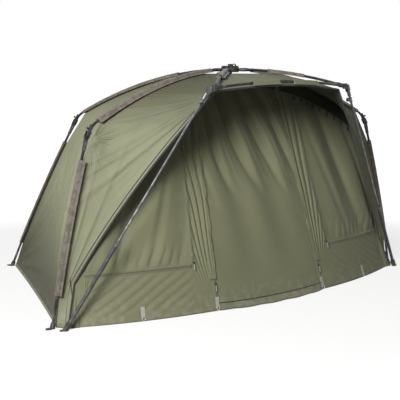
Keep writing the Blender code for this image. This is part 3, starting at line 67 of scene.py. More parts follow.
# Lines of the frame, as in the part's source
HUB = Vector((0, -0.462, 1.300))
PIVOT_RADIUS = 0.040
RIBS = {"front": (1.292, -0.606), "rear": (0.738, 0.912)}
BROW = Vector((0.490, -0.917, 1.204))
ARCH_END_REACH, ARCH_DROP, ARCH_POWER = 1.000, 0.270, 1.9
ELBOW_REACH, ELBOW_DROP = 0.032, 0.018
KNUCKLE = Vector((1.062, 0, 0.958))
LEG_BOW = 0.014
BAR_RISE, BAR_BULGE = 0.030, 0.016
SLEEVE_STARTS = {"front": 0.165, "rear": 0.330}
UPPER_SLEEVE_END = 0.985
LEG_SLEEVE_TOP, LEG_SLEEVE_BOTTOM = 0.840, 0.165
BROW_SLEEVE = (0.220, 0.430)
BAR_SLEEVE = (0.055, 0.240)
TUBE_BORE = 0.0084

# Cloth of the canopy, as in the part's source
CLOTH_SET, HUB_DIP, HUB_DIP_REACH = 0.0130, 0.026, 0.300
SAGS = {"wing": 0.016, "side": 0.030, "rear": 0.030}
TOP_SAG, HEM_SHARE = 0.010, 0.35
CORNER_CLOTH_SETBACK, CORNER_CLOTH_DROP = 0.036, 0.020
EDGE_KNEE = Vector((1.166, -0.616, 0.215))
EDGE_FOOT = Vector((1.238, -0.668, 0))
EDGE_BOW = 0.040
FOOT_CLOTH_SETBACK = 0.026
TOP_ROWS, ARCH_ROWS, LEG_ROWS, LAST_ROW = 6, 4, 6, 17
FINE = 14
ROW_BLEND = 20
SPAN_COLUMNS = {"wing": 88, "side": 120, "rear": 116}
TOP_COLUMNS = 72

# Front panel, as in the part's source
PANEL_HALF_SPAN, PANEL_SETBACK = 1.215, 0.655
PANEL_BULGE, PANEL_BULGE_POWER = 0.215, 2.4
PANEL_LEAN_BACK, PANEL_LEAN_HEIGHT = 0.145, 1.200
PANEL_TAPER, PANEL_TUCK, PANEL_TUCK_POWER = 0.25, 0.045, 6
DOOR_SHARE, WINDOW_SHARE, WINDOW_END_SHARE = 0.336, 0.440, 0.925
TAB_SHARES = {"door": 0.336, "mid": 0.700}
FOLD_FOOT, FOLD_SLANT = 0.110, 1.3
PANEL_ROWS, DOOR_COLUMNS, INFILL_COLUMNS = 130, 110, 100
WINDOW_SILL = 0.250
INFILL_END_SHARE = 1.022

SIDES = {"left": -1, "right": 1}
X_AXIS, Y_AXIS, Z_AXIS = Vector((1, 0, 0)), Vector((0, 1, 0)), Vector((0, 0, 1))
INSIDE = (0, 0, 0.3)  # a point inside the tent, that outward normals look away from
BROW_REACH = math.hypot(BROW.x, BROW.y - HUB.y)
CORNER_REACH = BROW_REACH - CORNER_CLOTH_SETBACK
CORNER_ROWS = TOP_ROWS * FINE


class TentSizes(bpy.types.PropertyGroup):
    """Sizes of the cloth and trim."""

    canopy_cloth: FloatProperty(
        name="Canopy cloth", description="Thickness of the coated canopy cloth", default=0.0020, unit="LENGTH"
    )
    panel_cloth: FloatProperty(
        name="Front cloth", description="Thickness of the front panel's cloth", default=0.0016, unit="LENGTH"
    )
    crease_depth: FloatProperty(
        name="Crease depth", description="Depth of the creases in the canopy", default=0.0100, unit="LENGTH"
    )
    door_fold: FloatProperty(
        name="Door folds", description="Depth of the soft folds in the door", default=0.011, unit="LENGTH"
    )
    gather: FloatProperty(
        name="Gathers", description="Depth of the gathers beside the zips", default=0.0055, unit="LENGTH"
    )
    piping: FloatProperty(
        name="Edge binding", description="Radius of the binding on the free edges", default=0.0042, unit="LENGTH"
    )
    zip_width: FloatProperty(
        name="Zip tape", description="Width of a zip with its tape", default=0.024, unit="LENGTH"
    )
    loops: IntProperty(name="Loops", description="Number of stitched loops on each side of the arch", default=9)


class TentColours(bpy.types.PropertyGroup):
    """Colours of the cloth and fittings."""

    canopy: FloatVectorProperty(
        name="Canopy", description="Coated olive cloth of the canopy", subtype="COLOR", default=(0.185, 0.190, 0.124)
    )
    panel: FloatVectorProperty(
        name="Front", description="Olive cloth of the front panel", subtype="COLOR", default=(0.146, 0.149, 0.087)
    )
    # painted shade: near-black cloth for the band that stands for the shade under the brow
    painted_shade: FloatVectorProperty(
        name="Painted shade band", description="Near-black band above the front panel's arch, painted shade under the brow", subtype="COLOR",
        default=(0.030, 0.032, 0.020),
    )
    sleeve: FloatVectorProperty(
        name="Sleeves", description="Taupe cloth of the rib sleeves", subtype="COLOR", default=(0.140, 0.121, 0.102)
    )
    webbing: FloatVectorProperty(
        name="Webbing", description="Black webbing and binding", subtype="COLOR", default=(0.022, 0.022, 0.020)
    )
    pale_webbing: FloatVectorProperty(
        name="Pale webbing", description="Grey-green webbing of the peg tabs", subtype="COLOR",
        default=(0.30, 0.31, 0.26),
    )


class StageSettings(bpy.types.PropertyGroup):
    """Camera and light."""

    azimuth: FloatProperty(
        name="Azimuth", description="Camera's turn round the tent", default=math.radians(-38.489), subtype="ANGLE"
    )
    elevation: FloatProperty(
        name="Elevation", description="Camera's height above the horizon", default=math.radians(7.926),
        subtype="ANGLE",
    )
    distance: FloatProperty(name="Distance", description="Camera to target", default=5.723, unit="LENGTH")
    target: FloatVectorProperty(
        name="Target", description="Point the camera looks at", default=(-0.0017, -0.183, 0.4993), subtype="XYZ"
    )
    lens: FloatProperty(name="Lens", description="Focal length in millimetres", default=83.1, unit="CAMERA")
    key_power: FloatProperty(
        name="Key light", description="Power of the large soft light", default=720.0, unit="POWER"
    )
    fill_power: FloatProperty(
        name="Fill light", description="Power of the light from the right", default=12.0, unit="POWER"
    )
    sky: FloatProperty(
        name="Sky", description="Strength of the even light all round", default=0.17, subtype="FACTOR"
    )


# Lines and grids


def mix(first, second, share):
    return first + (second - first) * share


def lengths_along(points):
    total = [0.0]
    for first, second in zip(points, points[1:]):
        total.append(total[-1] + (second - first).length)
    return total


def portion(points, start, end, steps):
    """Evenly spaced points of a line between two distances along it."""
    total = lengths_along(points)
    picked = []
    for step in range(steps + 1):
        want = start + (end - start) * step / steps
        spot = next((i for i in range(1, len(total)) if total[i] >= want), len(total) - 1)
        run = total[spot] - total[spot - 1]
        picked.append(mix(points[spot - 1], points[spot], (want - total[spot - 1]) / run))
    return picked


def distance_at(points, axis, value):
    """How far along a line one of its coordinates first passes a value."""
    total = lengths_along(points)
    for i in range(1, len(points)):
        before, after = points[i - 1][axis] - value, points[i][axis] - value
        if before * after <= 0 and before != after:
            return mix(total[i - 1], total[i], before / (before - after))
    return total[-1]


def upper_line():
    """The long rib in its own plane, from its hub pivot over the arch and elbow to the knuckle."""
    points = []
    for step in range(41):
        share = step / 40
        reach = mix(PIVOT_RADIUS, ARCH_END_REACH, share)
        points.append(Vector((reach, 0, HUB.z - ARCH_DROP * share**ARCH_POWER)))
    last = points[-1]
    bend = last + Vector((ELBOW_REACH, 0, -ELBOW_DROP))
    for step in range(1, 9):
        share = step / 8
        points.append(mix(mix(last, bend, share), mix(bend, KNUCKLE, share), share))
    return points


def leg_line(reach):
    foot = Vector((reach, 0, 0))
    out = (foot - KNUCKLE).cross(Y_AXIS).normalized()
    if out.x < 0:
        out.negate()
    points = []
    for step in range(25):
        share = step / 24
        points.append(mix(KNUCKLE, foot, share) + out * LEG_BOW * 4 * share * (1 - share))
    return points


def brow_line():
    points = []
    for step in range(29):
        share = step / 28
        reach = mix(PIVOT_RADIUS, BROW_REACH, share)
        points.append(Vector((reach, 0, HUB.z - (HUB.z - BROW.z) * share**2)))
    return points


def bar_point(offset):
    """The brow bar at a sideways offset from the middle, arched up and forward."""
    share = 1 - (offset / BROW.x) ** 2
    return Vector((offset, BROW.y - BAR_BULGE * share, BROW.z + BAR_RISE * share))


def rib_turn(end, side):
    half_span, setback = RIBS[end]
    return math.atan2(setback - HUB.y, SIDES[side] * half_span)


def brow_turn(side):
    return math.atan2(BROW.y - HUB.y, SIDES[side] * BROW.x)


def foot_reach(end):
    half_span, setback = RIBS[end]
    return math.hypot(half_span, setback - HUB.y)


def to_world(point, turn):
    return Matrix.Rotation(turn, 3, "Z") @ point + Vector((HUB.x, HUB.y, 0))


def arch_normal(line, spot):
    along = line[min(spot + 1, len(line) - 1)] - line[max(spot - 1, 0)]
    out = Y_AXIS.cross(along).normalized()
    return out if out.z >= 0 else -out


def cloth_under(point, normal, reach):
    near = max(0.0, 1 - reach / HUB_DIP_REACH)
    return point - normal * CLOTH_SET - Z_AXIS * HUB_DIP * near**2


def between(first, second, steps):
    """Points strictly inside a straight run."""
    return [mix(first, second, step / steps) for step in range(1, steps)]


def cloth_rows(points):
    return [cloth_under(p, arch_normal(points, i), p.x) for i, p in enumerate(points)]


def leg_sleeve_line(end, steps):
    """The part of a leg that its sleeve covers."""
    leg = leg_line(foot_reach(end))
    top, low = (distance_at(leg, 2, height) for height in (LEG_SLEEVE_TOP, LEG_SLEEVE_BOTTOM))
    return portion(leg, top, low, steps)


def rib_cloth_line(end):
    """The cloth's outer face along a long rib, from beside the hub to the ground."""
    upper = upper_line()
    corner, sleeve_end = (distance_at(upper, 0, reach) for reach in (CORNER_REACH, UPPER_SLEEVE_END))
    points = portion(upper, 0, corner, CORNER_ROWS)[1:]
    points += portion(upper, corner, sleeve_end, ARCH_ROWS * FINE)[1:]
    rows = cloth_rows(points)
    lower = cloth_rows(leg_sleeve_line(end, LEG_ROWS * FINE))
    rows += between(rows[-1], lower[0], FINE) + lower
    foot = Vector((foot_reach(end) - FOOT_CLOTH_SETBACK, 0, 0))
    return rows + between(rows[-1], foot, FINE) + [foot]


def edge_point(side, height):
    """The canopy's free front edge at a height: corner, knee and foot."""
    sign = Vector((SIDES[side], 1, 1))
    inward = Matrix.Rotation(brow_turn(side), 3, "Z") @ Vector((-1, 0, 0))
    corner = BROW * sign + inward * CORNER_CLOTH_SETBACK - Z_AXIS * CORNER_CLOTH_DROP
    knee, foot = EDGE_KNEE * sign, EDGE_FOOT * sign
    if height > knee.z:
        rise = min(1, (height - knee.z) / (corner.z - knee.z))
        bow = Vector((SIDES[side] * EDGE_BOW, EDGE_BOW / 2, 0)) * 4 * rise * (1 - rise)
        return mix(knee, corner, rise) + bow
    return mix(foot, knee, height / knee.z)


def brow_cloth_line(side):
    """The cloth along a short rib, then down the free edge."""
    line = brow_line()
    points = portion(line, 0, distance_at(line, 0, CORNER_REACH), CORNER_ROWS)[1:]
    rows = [to_world(p, brow_turn(side)) for p in cloth_rows(points)]
    drop = rows[-1] - edge_point(side, BROW.z)
    count = len(rows)
    rows = [row - drop * ((i + 1) / count) ** 2 for i, row in enumerate(rows)]
    return rows + [edge_point(side, point.z) for point in rib_cloth_line("front")[count:]]


def row_shares(total):
    """Each fine row's place among the part's own rows, from 0 at the hub to 1 at the ground."""
    places = [(i + 1) / FINE - 1 for i in range(total)]
    return [min(1, max(0, place) / LAST_ROW) for place in places]


def row_direction(line, spot):
    return (line[min(spot + 1, len(line) - 1)] - line[max(spot - 1, 0)]).normalized()


def span_grid(first, second, columns, sag):
    """Rows of points from one seam line to the next, drawn in between them.

    The direction of the sag is blended over neighbouring rows, or they fold over each other at the knuckles.
    """
    grid = np.zeros((len(first), columns + 1, 3))
    turned = []
    for spot in range(len(first)):
        across = second[spot] - first[spot]
        inward = across.cross(row_direction(first, spot) + row_direction(second, spot)).normalized()
        turned.append(-inward if inward.dot(first[spot] + second[spot]) > 0 else inward)
    for spot, share in enumerate(row_shares(len(first))):
        across = second[spot] - first[spot]
        inward = sum(turned[max(0, spot - ROW_BLEND):spot + ROW_BLEND + 1], Vector()).normalized()
        depth = sag * (math.sin(math.pi * min(1, share * 1.15)) + HEM_SHARE * share)
        for step in range(columns + 1):
            part = step / columns
            grid[spot, step] = first[spot] + across * part + inward * depth * 4 * part * (1 - part)
    return grid


def grid_normals(grid, inside):
    """Unit normals of a grid of points, turned away from an inside point."""
    normals = np.cross(np.gradient(grid, axis=1), np.gradient(grid, axis=0))
    normals /= np.maximum(np.linalg.norm(normals, axis=2, keepdims=True), 1e-9)
    if np.sum(normals * (grid - np.array(inside))) < 0:
        normals = -normals
    return normals


def smooth(low, high, value):
    share = np.clip((value - low) / (high - low), 0, 1)
    return share * share * (3 - 2 * share)


def ripple(value):
    """A wave with a narrow crest and a wide trough."""
    return np.sin(value) + 0.35 * np.sin(2 * value + 0.9) + 0.12 * np.sin(3 * value + 2.1)


def soft_noise(across, down, size, seed):
    """Slow, seeded unevenness of about one in height."""
    total = np.zeros_like(across)
    source = np.random.default_rng(seed)
    for _ in range(7):
        heading = source.uniform(0, math.tau)
        pitch = size * source.uniform(0.7, 1.6)
        phase = source.uniform(0, math.tau)
        total += np.sin((across * math.cos(heading) + down * math.sin(heading)) * math.tau / pitch + phase)
    return total / 3


def pinch(value):
    """Flat pillows with narrow valleys between them."""
    return 1 - 1.7 * np.exp(-3.2 * (1 - np.cos(value)))


def uneven(value, steps, seed):
    """A smooth random weight along a value from -1 to 1."""
    knots = np.random.default_rng(seed).uniform(0.25, 1.0, steps + 1)
    return np.interp(value, np.linspace(-1, 1, steps + 1), knots)


def fan(across, down, spot, heading, spread, count, reach, seed):
    """Creases that run straight out of one point inside a wedge, and fade with distance."""
    right, below = across - spot[0], down - spot[1]
    away = np.hypot(right, below)
    turn = np.arctan2(right, below) - math.radians(heading)
    turn = (turn + math.pi) % math.tau - math.pi
    local = turn / math.radians(spread)
    wedge = np.clip(1 - local**2, 0, 1)
    bent = local + 0.22 * (uneven(local, int(count), seed + 50) - 0.6)
    swell = (away / reach) ** 2 * np.exp(2 - 2 * away / reach)
    lines = 0.6 * ripple(bent * count * math.pi + seed) + 0.5 * pinch(bent * count * 1.63 * math.pi)
    return wedge * swell * uneven(local, int(2 * count), seed) * lines


def make_sheet(name, grid, measure, apex=None, wall=None):
    """A cloth object from a grid of points, with the cloth's own measure as UV, closed at the hub by an apex."""
    rows, columns = grid.shape[:2]
    faces = []
    for row in range(rows - 1):
        base = row * columns
        for step in range(columns - 1):
            faces.append((base + step, base + step + 1, base + columns + step + 1, base + columns + step))
    points, maps = grid.reshape(-1, 3), {"cloth": measure.reshape(-1, 2)}
    if wall is not None:
        maps["wall"] = wall.reshape(-1, 2)
    if apex is not None:
        faces += [(rows * columns, step + 1, step) for step in range(columns - 1)]
        points = np.concatenate((points, [apex]))
        maps = {key: np.concatenate((places, [(0, places[0, 1])])) for key, places in maps.items()}
    return new_piece(name, points.tolist(), faces, maps)


def stand(obj):
    """Keeps a cloth's hem on the ground."""
    for vertex in obj.data.vertices:
        vertex.co.z = max(vertex.co.z, 0)


def new_piece(name, points, faces, maps):
    """A smooth mesh object with its UV maps."""
    mesh = bpy.data.meshes.new(name)
    mesh.from_pydata(points, [], faces)
    spots = np.zeros(len(mesh.loops), np.int32)
    mesh.loops.foreach_get("vertex_index", spots)
    for key, places in maps.items():
        layer = mesh.uv_layers.new(name=key)
        layer.data.foreach_set("uv", places[spots].astype(np.float32).ravel())
    mesh.polygons.foreach_set("use_smooth", [True] * len(mesh.polygons))
    obj = bpy.data.objects.new(name, mesh)
    bpy.context.scene.collection.objects.link(obj)
    return obj


def measure_grid(grid):
    """Distances across and down a grid of points, in metres, as UV."""
    across = np.zeros(grid.shape[:2])
    down = np.zeros(grid.shape[:2])
    across[:, 1:] = np.cumsum(np.linalg.norm(np.diff(grid, axis=1), axis=2), axis=1)
    down[1:] = np.cumsum(np.linalg.norm(np.diff(grid, axis=0), axis=2), axis=0)
    across -= across[:, -1:] / 2
    return np.stack((across, down), axis=2)


def select_only(obj):
    bpy.ops.object.select_all(action="DESELECT")
    obj.select_set(True)
    bpy.context.view_layer.objects.active = obj


def apply_all(obj):
    select_only(obj)
    for modifier in list(obj.modifiers):
        bpy.ops.object.modifier_apply(modifier=modifier.name)


def edit_all(obj, operation, **settings):
    """Runs a mesh operator on the whole of a piece."""
    select_only(obj)
    bpy.ops.object.mode_set(mode="EDIT")
    bpy.ops.mesh.select_all(action="SELECT")
    operation(**settings)
    bpy.ops.object.mode_set(mode="OBJECT")


def thicken(obj, thickness, inside=0):
    """Gives a cloth its thickness inward, with another of its materials inside where asked."""
    wall = obj.modifiers.new("cloth", "SOLIDIFY")
    wall.thickness, wall.offset, wall.material_offset = thickness, -1, inside
    apply_all(obj)


def round_edges(obj, width):
    soft = obj.modifiers.new("edges", "BEVEL")
    soft.width, soft.segments, soft.limit_method = width, 2, "ANGLE"
    apply_all(obj)


def cut_box(name, size, height, cuts):
    """A box cut into small faces, with its middle at a height."""
    bpy.ops.object.select_all(action="DESELECT")
    bpy.ops.mesh.primitive_cube_add(size=1)
    box = bpy.context.object
    box.name, box.scale, box.location = name, size, (0, 0, height)
    bpy.ops.object.transform_apply(location=True, rotation=True, scale=True)
    edit_all(box, bpy.ops.mesh.subdivide, number_cuts=cuts)
    return box


def settle(obj, matrix):
    """Puts a modelled piece in its place and leaves its object at the origin."""
    obj.matrix_world = matrix @ obj.matrix_world
    select_only(obj)
    bpy.ops.object.transform_apply(location=True, rotation=True, scale=True)


def dress(obj, look, body, folds=True):
    """Gives a piece its finish and its body, and its own copy of its mesh where folds is set."""
    if look:
        obj.data.materials.clear()
        obj.data.materials.append(LOOKS[look])
    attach(obj, body)
    if folds:
        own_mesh(obj)
    return obj


def profile_lengths(profile):
    return np.concatenate(([0], np.cumsum(np.linalg.norm(np.diff(profile, axis=0), axis=1))))


def tube_faces(rows, count, base=0):
    """The faces of a tube whose points run round it row by row."""
    faces = []
    for start in range(base, base + (rows - 1) * count, count):
        for step in range(count):
            nxt = (step + 1) % count
            faces.append((start + step, start + nxt, start + count + nxt, start + count + step))
    return faces


def sweep(name, points, profile, side=None):
    """A mesh that carries a closed outline along a line of points, with measures of the cloth as UV."""
    rings, uv = [], []
    total, around = lengths_along(points), profile_lengths(profile)
    for spot, point in enumerate(points):
        along = row_direction(points, spot)
        wide = Z_AXIS.cross(along) if side is None else side
        wide = (wide - along * wide.dot(along)).normalized()
        up = wide.cross(along).normalized()
        if up.z < 0:
            up, wide = -up, -wide
        for step, (x, y) in enumerate(profile):
            rings.append(tuple(point + wide * float(x) + up * float(y)))
            uv.append((around[step], total[spot]))
    rows, count = len(points), len(profile)
    ends = [tuple(reversed(range(count))), tuple(range((rows - 1) * count, rows * count))]
    obj = new_piece(name, rings, tube_faces(rows, count) + ends, {"cloth": np.array(uv)})
    edit_all(obj, bpy.ops.mesh.normals_make_consistent, inside=False)
    return obj


def band(name, points, profile, look="webbing", body="cover", side=None, stands_for=None, folds=True):
    """A swept piece with its finish, in place of a node where one is named."""
    piece = sweep(name, points, profile, side)
    if stands_for:
        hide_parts(stands_for)
    dress(piece, look, body, folds)


def circle_profile(radius, sides=8, start=0.0, hand=1):
    turns = start + hand * np.arange(sides) * math.tau / sides
    return np.stack((radius * np.cos(turns), radius * np.sin(turns)), axis=1)


def flat_profile(wide, thick):
    """A flat band's outline, from its half width and half thickness."""
    return np.array(((-wide, -thick), (wide, -thick), (wide, thick), (-wide, thick)))


def ribbon_profile(wide, flat, thick, edge):
    """A band's outline with cut corners: half widths of band and flat, half thicknesses of flat and edge."""
    half = [(-wide, -edge), (-flat, -thick), (flat, -thick), (wide, -edge)]
    return np.array(half + [(-x, -y) for x, y in half])


# Materials


def feed(tree, made, links):
    """Links a node's inputs to sockets, or sets them to values."""
    for key, value in links.items():
        if isinstance(value, bpy.types.NodeSocket):
            tree.links.new(value, made.inputs[key])
        else:
            made.inputs[key].default_value = value
    return made


def node(tree, kind, links=None, **settings):
    made = tree.nodes.new(kind)
    for key, value in settings.items():
        setattr(made, key, value)
    return feed(tree, made, links or {})


def new_group(name, inputs, outputs):
    """An empty node group with its entry's sockets and its exit. Inputs called Vector or Point are vectors."""
    group = bpy.data.node_groups.new(name, "ShaderNodeTree")
    for way, labels in (("INPUT", inputs), ("OUTPUT", outputs)):
        for label in labels:
            kind = "NodeSocketVector" if label in ("Vector", "Point") else "NodeSocketFloat"
            group.interface.new_socket(name=label, in_out=way, socket_type=kind)
    return group, group.nodes.new("NodeGroupInput").outputs, group.nodes.new("NodeGroupOutput")


def use_group(tree, group, links):
    return node(tree, "ShaderNodeGroup", links, node_tree=group).outputs


def maths(tree, operation, first, second=0.0):
    return node(tree, "ShaderNodeMath", {0: first, 1: second}, operation=operation).outputs[0]


def times(tree, first, second):
    return maths(tree, "MULTIPLY", first, second)


def plus(tree, first, second):
    return maths(tree, "ADD", first, second)


def less(tree, first, second):
    return maths(tree, "SUBTRACT", first, second)


def ramp(tree, value, low, high):
    """Zero at low and one at high, smoothly."""
    links = {"Value": value, "From Min": low, "From Max": high}
    return node(tree, "ShaderNodeMapRange", links, interpolation_type="SMOOTHSTEP").outputs["Result"]


def object_place(tree):
    return node(tree, "ShaderNodeTexCoord").outputs["Object"]


def noise(tree, place, scale, detail, **shape):
    links = {"Vector": place, "Scale": scale, "Detail": detail, **shape}
    return node(tree, "ShaderNodeTexNoise", links).outputs[0]


def bump(tree, height, distance, strength, **normal):
    links = {"Height": height, "Distance": distance, "Strength": strength, **normal}
    return node(tree, "ShaderNodeBump", links).outputs[0]


def weave_group():
    """Plain weave of crossing threads: a height and a mask of the gaps between threads."""
    group, entry, leave = new_group("plain weave", ("Vector", "Pitch"), ("Height", "Gaps"))
    parts = node(group, "ShaderNodeSeparateXYZ", {0: entry["Vector"]}).outputs
    waves = []
    for axis in (0, 1):
        turns = maths(group, "DIVIDE", parts[axis], entry["Pitch"])
        waves.append(maths(group, "SINE", times(group, turns, math.tau)))
    links = {0: times(group, *waves), 1: 0.5, 2: 0.5}
    height = node(group, "ShaderNodeMath", links, operation="MULTIPLY_ADD").outputs[0]
    gaps = times(group, *(maths(group, "ABSOLUTE", wave) for wave in waves))
    feed(group, leave, {"Height": height, "Gaps": gaps})
    return group


def ageing_and_shade_group():
    """Uneven dye, painted shade that darkens the cloth toward the ground and the crown, and dust at the hem: a
    brightness and a dust mask.
    """
    group, entry, leave = new_group("ageing_and_shade", ("Amount", "Ground shade", "Crown shade"), ("Shade", "Dust"))
    place = object_place(group)
    broad = noise(group, place, 2.2, 3.0, Roughness=0.55)
    fine = noise(group, place, 26.0, 4.0, Roughness=0.6)
    brightness = less(group, plus(group, times(group, broad, 0.7), times(group, fine, 0.3)), 0.5)
    shade = plus(group, times(group, brightness, entry["Amount"]), 1.0)
    height = node(group, "ShaderNodeSeparateXYZ", {0: place}).outputs[2]
    # painted shade: the cloth is made darker toward the ground and toward the crown, where less light falls
    for zone, start, full in (("Ground shade", 0.75, 0.05), ("Crown shade", 0.92, 1.22)):
        darker = times(group, ramp(group, height, start, full), entry[zone])
        shade = times(group, shade, less(group, 1.0, darker))
    dust = times(group, ramp(group, height, 0.16, 0.0), ramp(group, fine, 0.42, 0.66))
    feed(group, leave, {"Shade": shade, "Dust": dust})
    return group


def tension_group():
    """Fine creases that run straight out of one point of the cloth: a height that dips along them."""
    group, entry, leave = new_group("tension creases", ("Point", "Scale", "Reach"), ("Height",))
    measure = node(group, "ShaderNodeUVMap", uv_map="wall").outputs[0]
    offset = node(group, "ShaderNodeVectorMath", {0: measure, 1: entry["Point"]}, operation="SUBTRACT").outputs[0]
    away = node(group, "ShaderNodeVectorMath", {0: offset}, operation="LENGTH").outputs["Value"]
    parts = node(group, "ShaderNodeSeparateXYZ", {0: offset}).outputs
    place = times(group, maths(group, "ARCTAN2", parts[0], parts[1]), entry["Scale"])
    lines = node(group, "ShaderNodeTexNoise", {"W": place, "Scale": 1.0, "Detail": 1.0}, noise_dimensions="1D")
    share = maths(group, "DIVIDE", away, entry["Reach"])
    fade = times(group, ramp(group, share, 1.0, 0.30), ramp(group, share, 0.03, 0.22))
    fade = times(group, fade, ramp(group, noise(group, measure, 5.5, 1.0), 0.40, 0.62))
    feed(group, leave, {"Height": times(group, less(group, lines.outputs[0], 0.5), fade)})
    return group


def wear_group():
    """Rubbed edges and fine grain of a moulding or tube."""
    group, entry, leave = new_group("edge wear", ("Scale",), ("Edges", "Grain"))
    place = object_place(group)
    grain = noise(group, place, entry["Scale"], 4.0)
    edges = ramp(group, node(group, "ShaderNodeNewGeometry").outputs["Pointiness"], 0.515, 0.60)
    patches = ramp(group, noise(group, place, 34.0, 3.0), 0.40, 0.65)
    feed(group, leave, {"Edges": times(group, edges, patches), "Grain": grain})
    return group


def new_material(name):
    made = bpy.data.materials.new(name)
    made.use_nodes = True
    return made, made.node_tree, made.node_tree.nodes["Principled BSDF"]


def tinted(tree, colour, factor):
    """A colour times a brightness factor."""
    return node(tree, "ShaderNodeVectorMath", {0: colour, "Scale": factor}, operation="SCALE").outputs[0]


def mixed(tree, first, second, factor):
    return node(tree, "ShaderNodeMix", {6: first, 7: second, 0: factor}, data_type="RGBA").outputs[2]


CLOTH_DUST, HARD_DUST = (0.331, 0.309, 0.265, 1), (0.20, 0.18, 0.14, 1)
WEBBING_PITCH = 0.0026


def cloth_material(name, colour, groups, roughness, pitch=0.0016, sheen=0.03, crumple=0.0016, ageing_and_shade=0.34,
                   print_colour=None, creases=(), crease_depth=0.0048, ground_shade=0.0, crown_shade=0.0, gloss=0.22):
    """Woven cloth: dye that varies, painted shade toward the ground and the crown where asked, a plain weave, fine
    crumples, dust at the hem and a soft sheen.
    """
    made, tree, shader = new_material(name)
    measure = node(tree, "ShaderNodeUVMap", uv_map="cloth").outputs[0]
    weave = use_group(tree, groups["weave"], {"Vector": measure, "Pitch": pitch})
    tone_and_dust = use_group(tree, groups["ageing_and_shade"], {"Amount": ageing_and_shade, "Ground shade": ground_shade, "Crown shade": crown_shade})
    place = object_place(tree)
    body = tuple(colour)
    if print_colour:
        blots = ramp(tree, noise(tree, place, 30.0, 2.5, Distortion=0.6), 0.47, 0.56)
        body = mixed(tree, (*colour, 1), (*print_colour, 1), blots)
    threads = less(tree, 1.04, times(tree, weave["Gaps"], 0.14))
    body = tinted(tree, body, times(tree, tone_and_dust["Shade"], threads))
    body = mixed(tree, body, CLOTH_DUST, times(tree, tone_and_dust["Dust"], 0.22))
    stretched = node(tree, "ShaderNodeMapping", {0: place, 3: (9.0, 9.0, 5.0)}).outputs[0]
    normal = bump(tree, noise(tree, stretched, 1.6, 5.0, Roughness=0.52), crumple, 0.9)
    if creases:
        height = 0.0
        for point, scale, reach in creases:
            links = {"Point": (*point, 0), "Scale": scale, "Reach": reach}
            height = plus(tree, use_group(tree, groups["tension"], links)["Height"], height)
        normal = bump(tree, height, crease_depth, 1.0, Normal=normal)
    feed(tree, shader, {
        "Base Color": body, "Roughness": plus(tree, times(tree, tone_and_dust["Shade"], 0.10), roughness - 0.10),
        "Sheen Weight": sheen, "Sheen Roughness": 0.45, "Specular IOR Level": gloss,
        "Normal": bump(tree, weave["Height"], pitch * 0.22, 0.6, Normal=normal),
    })
    return made


def webbing_material(name, colour, groups):
    """Ribbed webbing: chevrons across the band, lighter on the ribs' crowns and darker between them."""
    made, tree, shader = new_material(name)
    place = object_place(tree)
    turned = node(tree, "ShaderNodeMapping", {0: place, 2: (0, 0, math.radians(45))}).outputs[0]
    weave = use_group(tree, groups["weave"], {"Vector": turned, "Pitch": WEBBING_PITCH})
    height = node(tree, "ShaderNodeSeparateXYZ", {0: place}).outputs[2]
    ribs = maths(tree, "SINE", times(tree, height, math.tau / WEBBING_PITCH))
    relief = plus(tree, times(tree, ribs, 0.35), weave["Height"])
    tone_and_dust = use_group(tree, groups["ageing_and_shade"], {"Amount": 0.5})
    factor = times(tree, tone_and_dust["Shade"], plus(tree, times(tree, relief, 0.35), 0.82))
    feed(tree, shader, {
        "Base Color": tinted(tree, tuple(colour), factor), "Roughness": 0.8, "Sheen Weight": 0.15,
        "Normal": bump(tree, relief, 0.0007, 0.8),
    })
    return made


def hard_material(name, colour, groups, roughness, metallic, worn, wear, grain, depth):
    """Moulded or drawn material: fine grain, uneven gloss and rubbed edges."""
    made, tree, shader = new_material(name)
    rub = use_group(tree, groups["wear"], {"Scale": grain})
    tone_and_dust = use_group(tree, groups["ageing_and_shade"], {"Amount": 0.45})
    base = tinted(tree, colour, tone_and_dust["Shade"])
    base = mixed(tree, base, (*worn, 1), times(tree, rub["Edges"], wear))
    base = mixed(tree, base, HARD_DUST, times(tree, tone_and_dust["Dust"], 0.25))
    feed(tree, shader, {
        "Base Color": base, "Roughness": plus(tree, times(tree, rub["Grain"], 0.22), roughness - 0.11),
        "Metallic": metallic, "Specular IOR Level": 0.3, "Normal": bump(tree, rub["Grain"], depth, 0.7),
    })
    return made


LOOKS = {}

# Name, colour, roughness, metallic, colour where worn, wear, scale and depth of the grain
HARD_LOOKS = {
    "tube": ("satin black tube", (0.009, 0.009, 0.010), 0.36, 0.0, (0.25, 0.25, 0.26), 0.3, 260.0, 0.00006),
    "pole": ("grey storm rod", (0.085, 0.085, 0.090), 0.38, 0.75, (0.5, 0.5, 0.52), 0.3, 300.0, 0.00005),
    "pole_dark": ("dark storm tube", (0.040, 0.040, 0.043), 0.42, 0.6, (0.4, 0.4, 0.42), 0.3, 300.0, 0.00005),
    "moulding": ("moulded nylon", (0.010, 0.010, 0.010), 0.48, 0.0, (0.06, 0.06, 0.06), 0.5, 520.0, 0.00018),
    "ring": ("plated ring", (0.42, 0.42, 0.41), 0.30, 0.9, (0.7, 0.7, 0.7), 0.3, 300.0, 0.00004),
    "zip": ("zip coil", (0.060, 0.061, 0.042), 0.50, 0.0, (0.12, 0.12, 0.10), 0.4, 700.0, 0.00010),
}

# The seams of each kind of canopy panel on the right, which the left mirrors
KINDS = {
    "wing": (("brow", "right"), ("front", "right")),
    "side": (("front", "right"), ("rear", "right")),
    "rear": (("rear", "right"), ("rear", "left")),
}

# Fine creases in the material: height and seam of the point they run out of, scale and reach
WING_CREASES = (((1.18, 0), 30.0, 1.05), ((0.95, -1), 14.0, 0.22), ((0.02, -1), 20.0, 0.75))
WALL_CREASES = tuple(((height, seam), 20.0, 0.65) for height in (0.02, 0.92) for seam in (0, -1))


def chart_spot(grid, chart, height, column):
    """The place in a wall's chart of a seam's point at a height."""
    row = int(np.argmin(np.abs(grid[:, column, 2] - height)))
    return tuple(float(value) for value in chart[row, column])


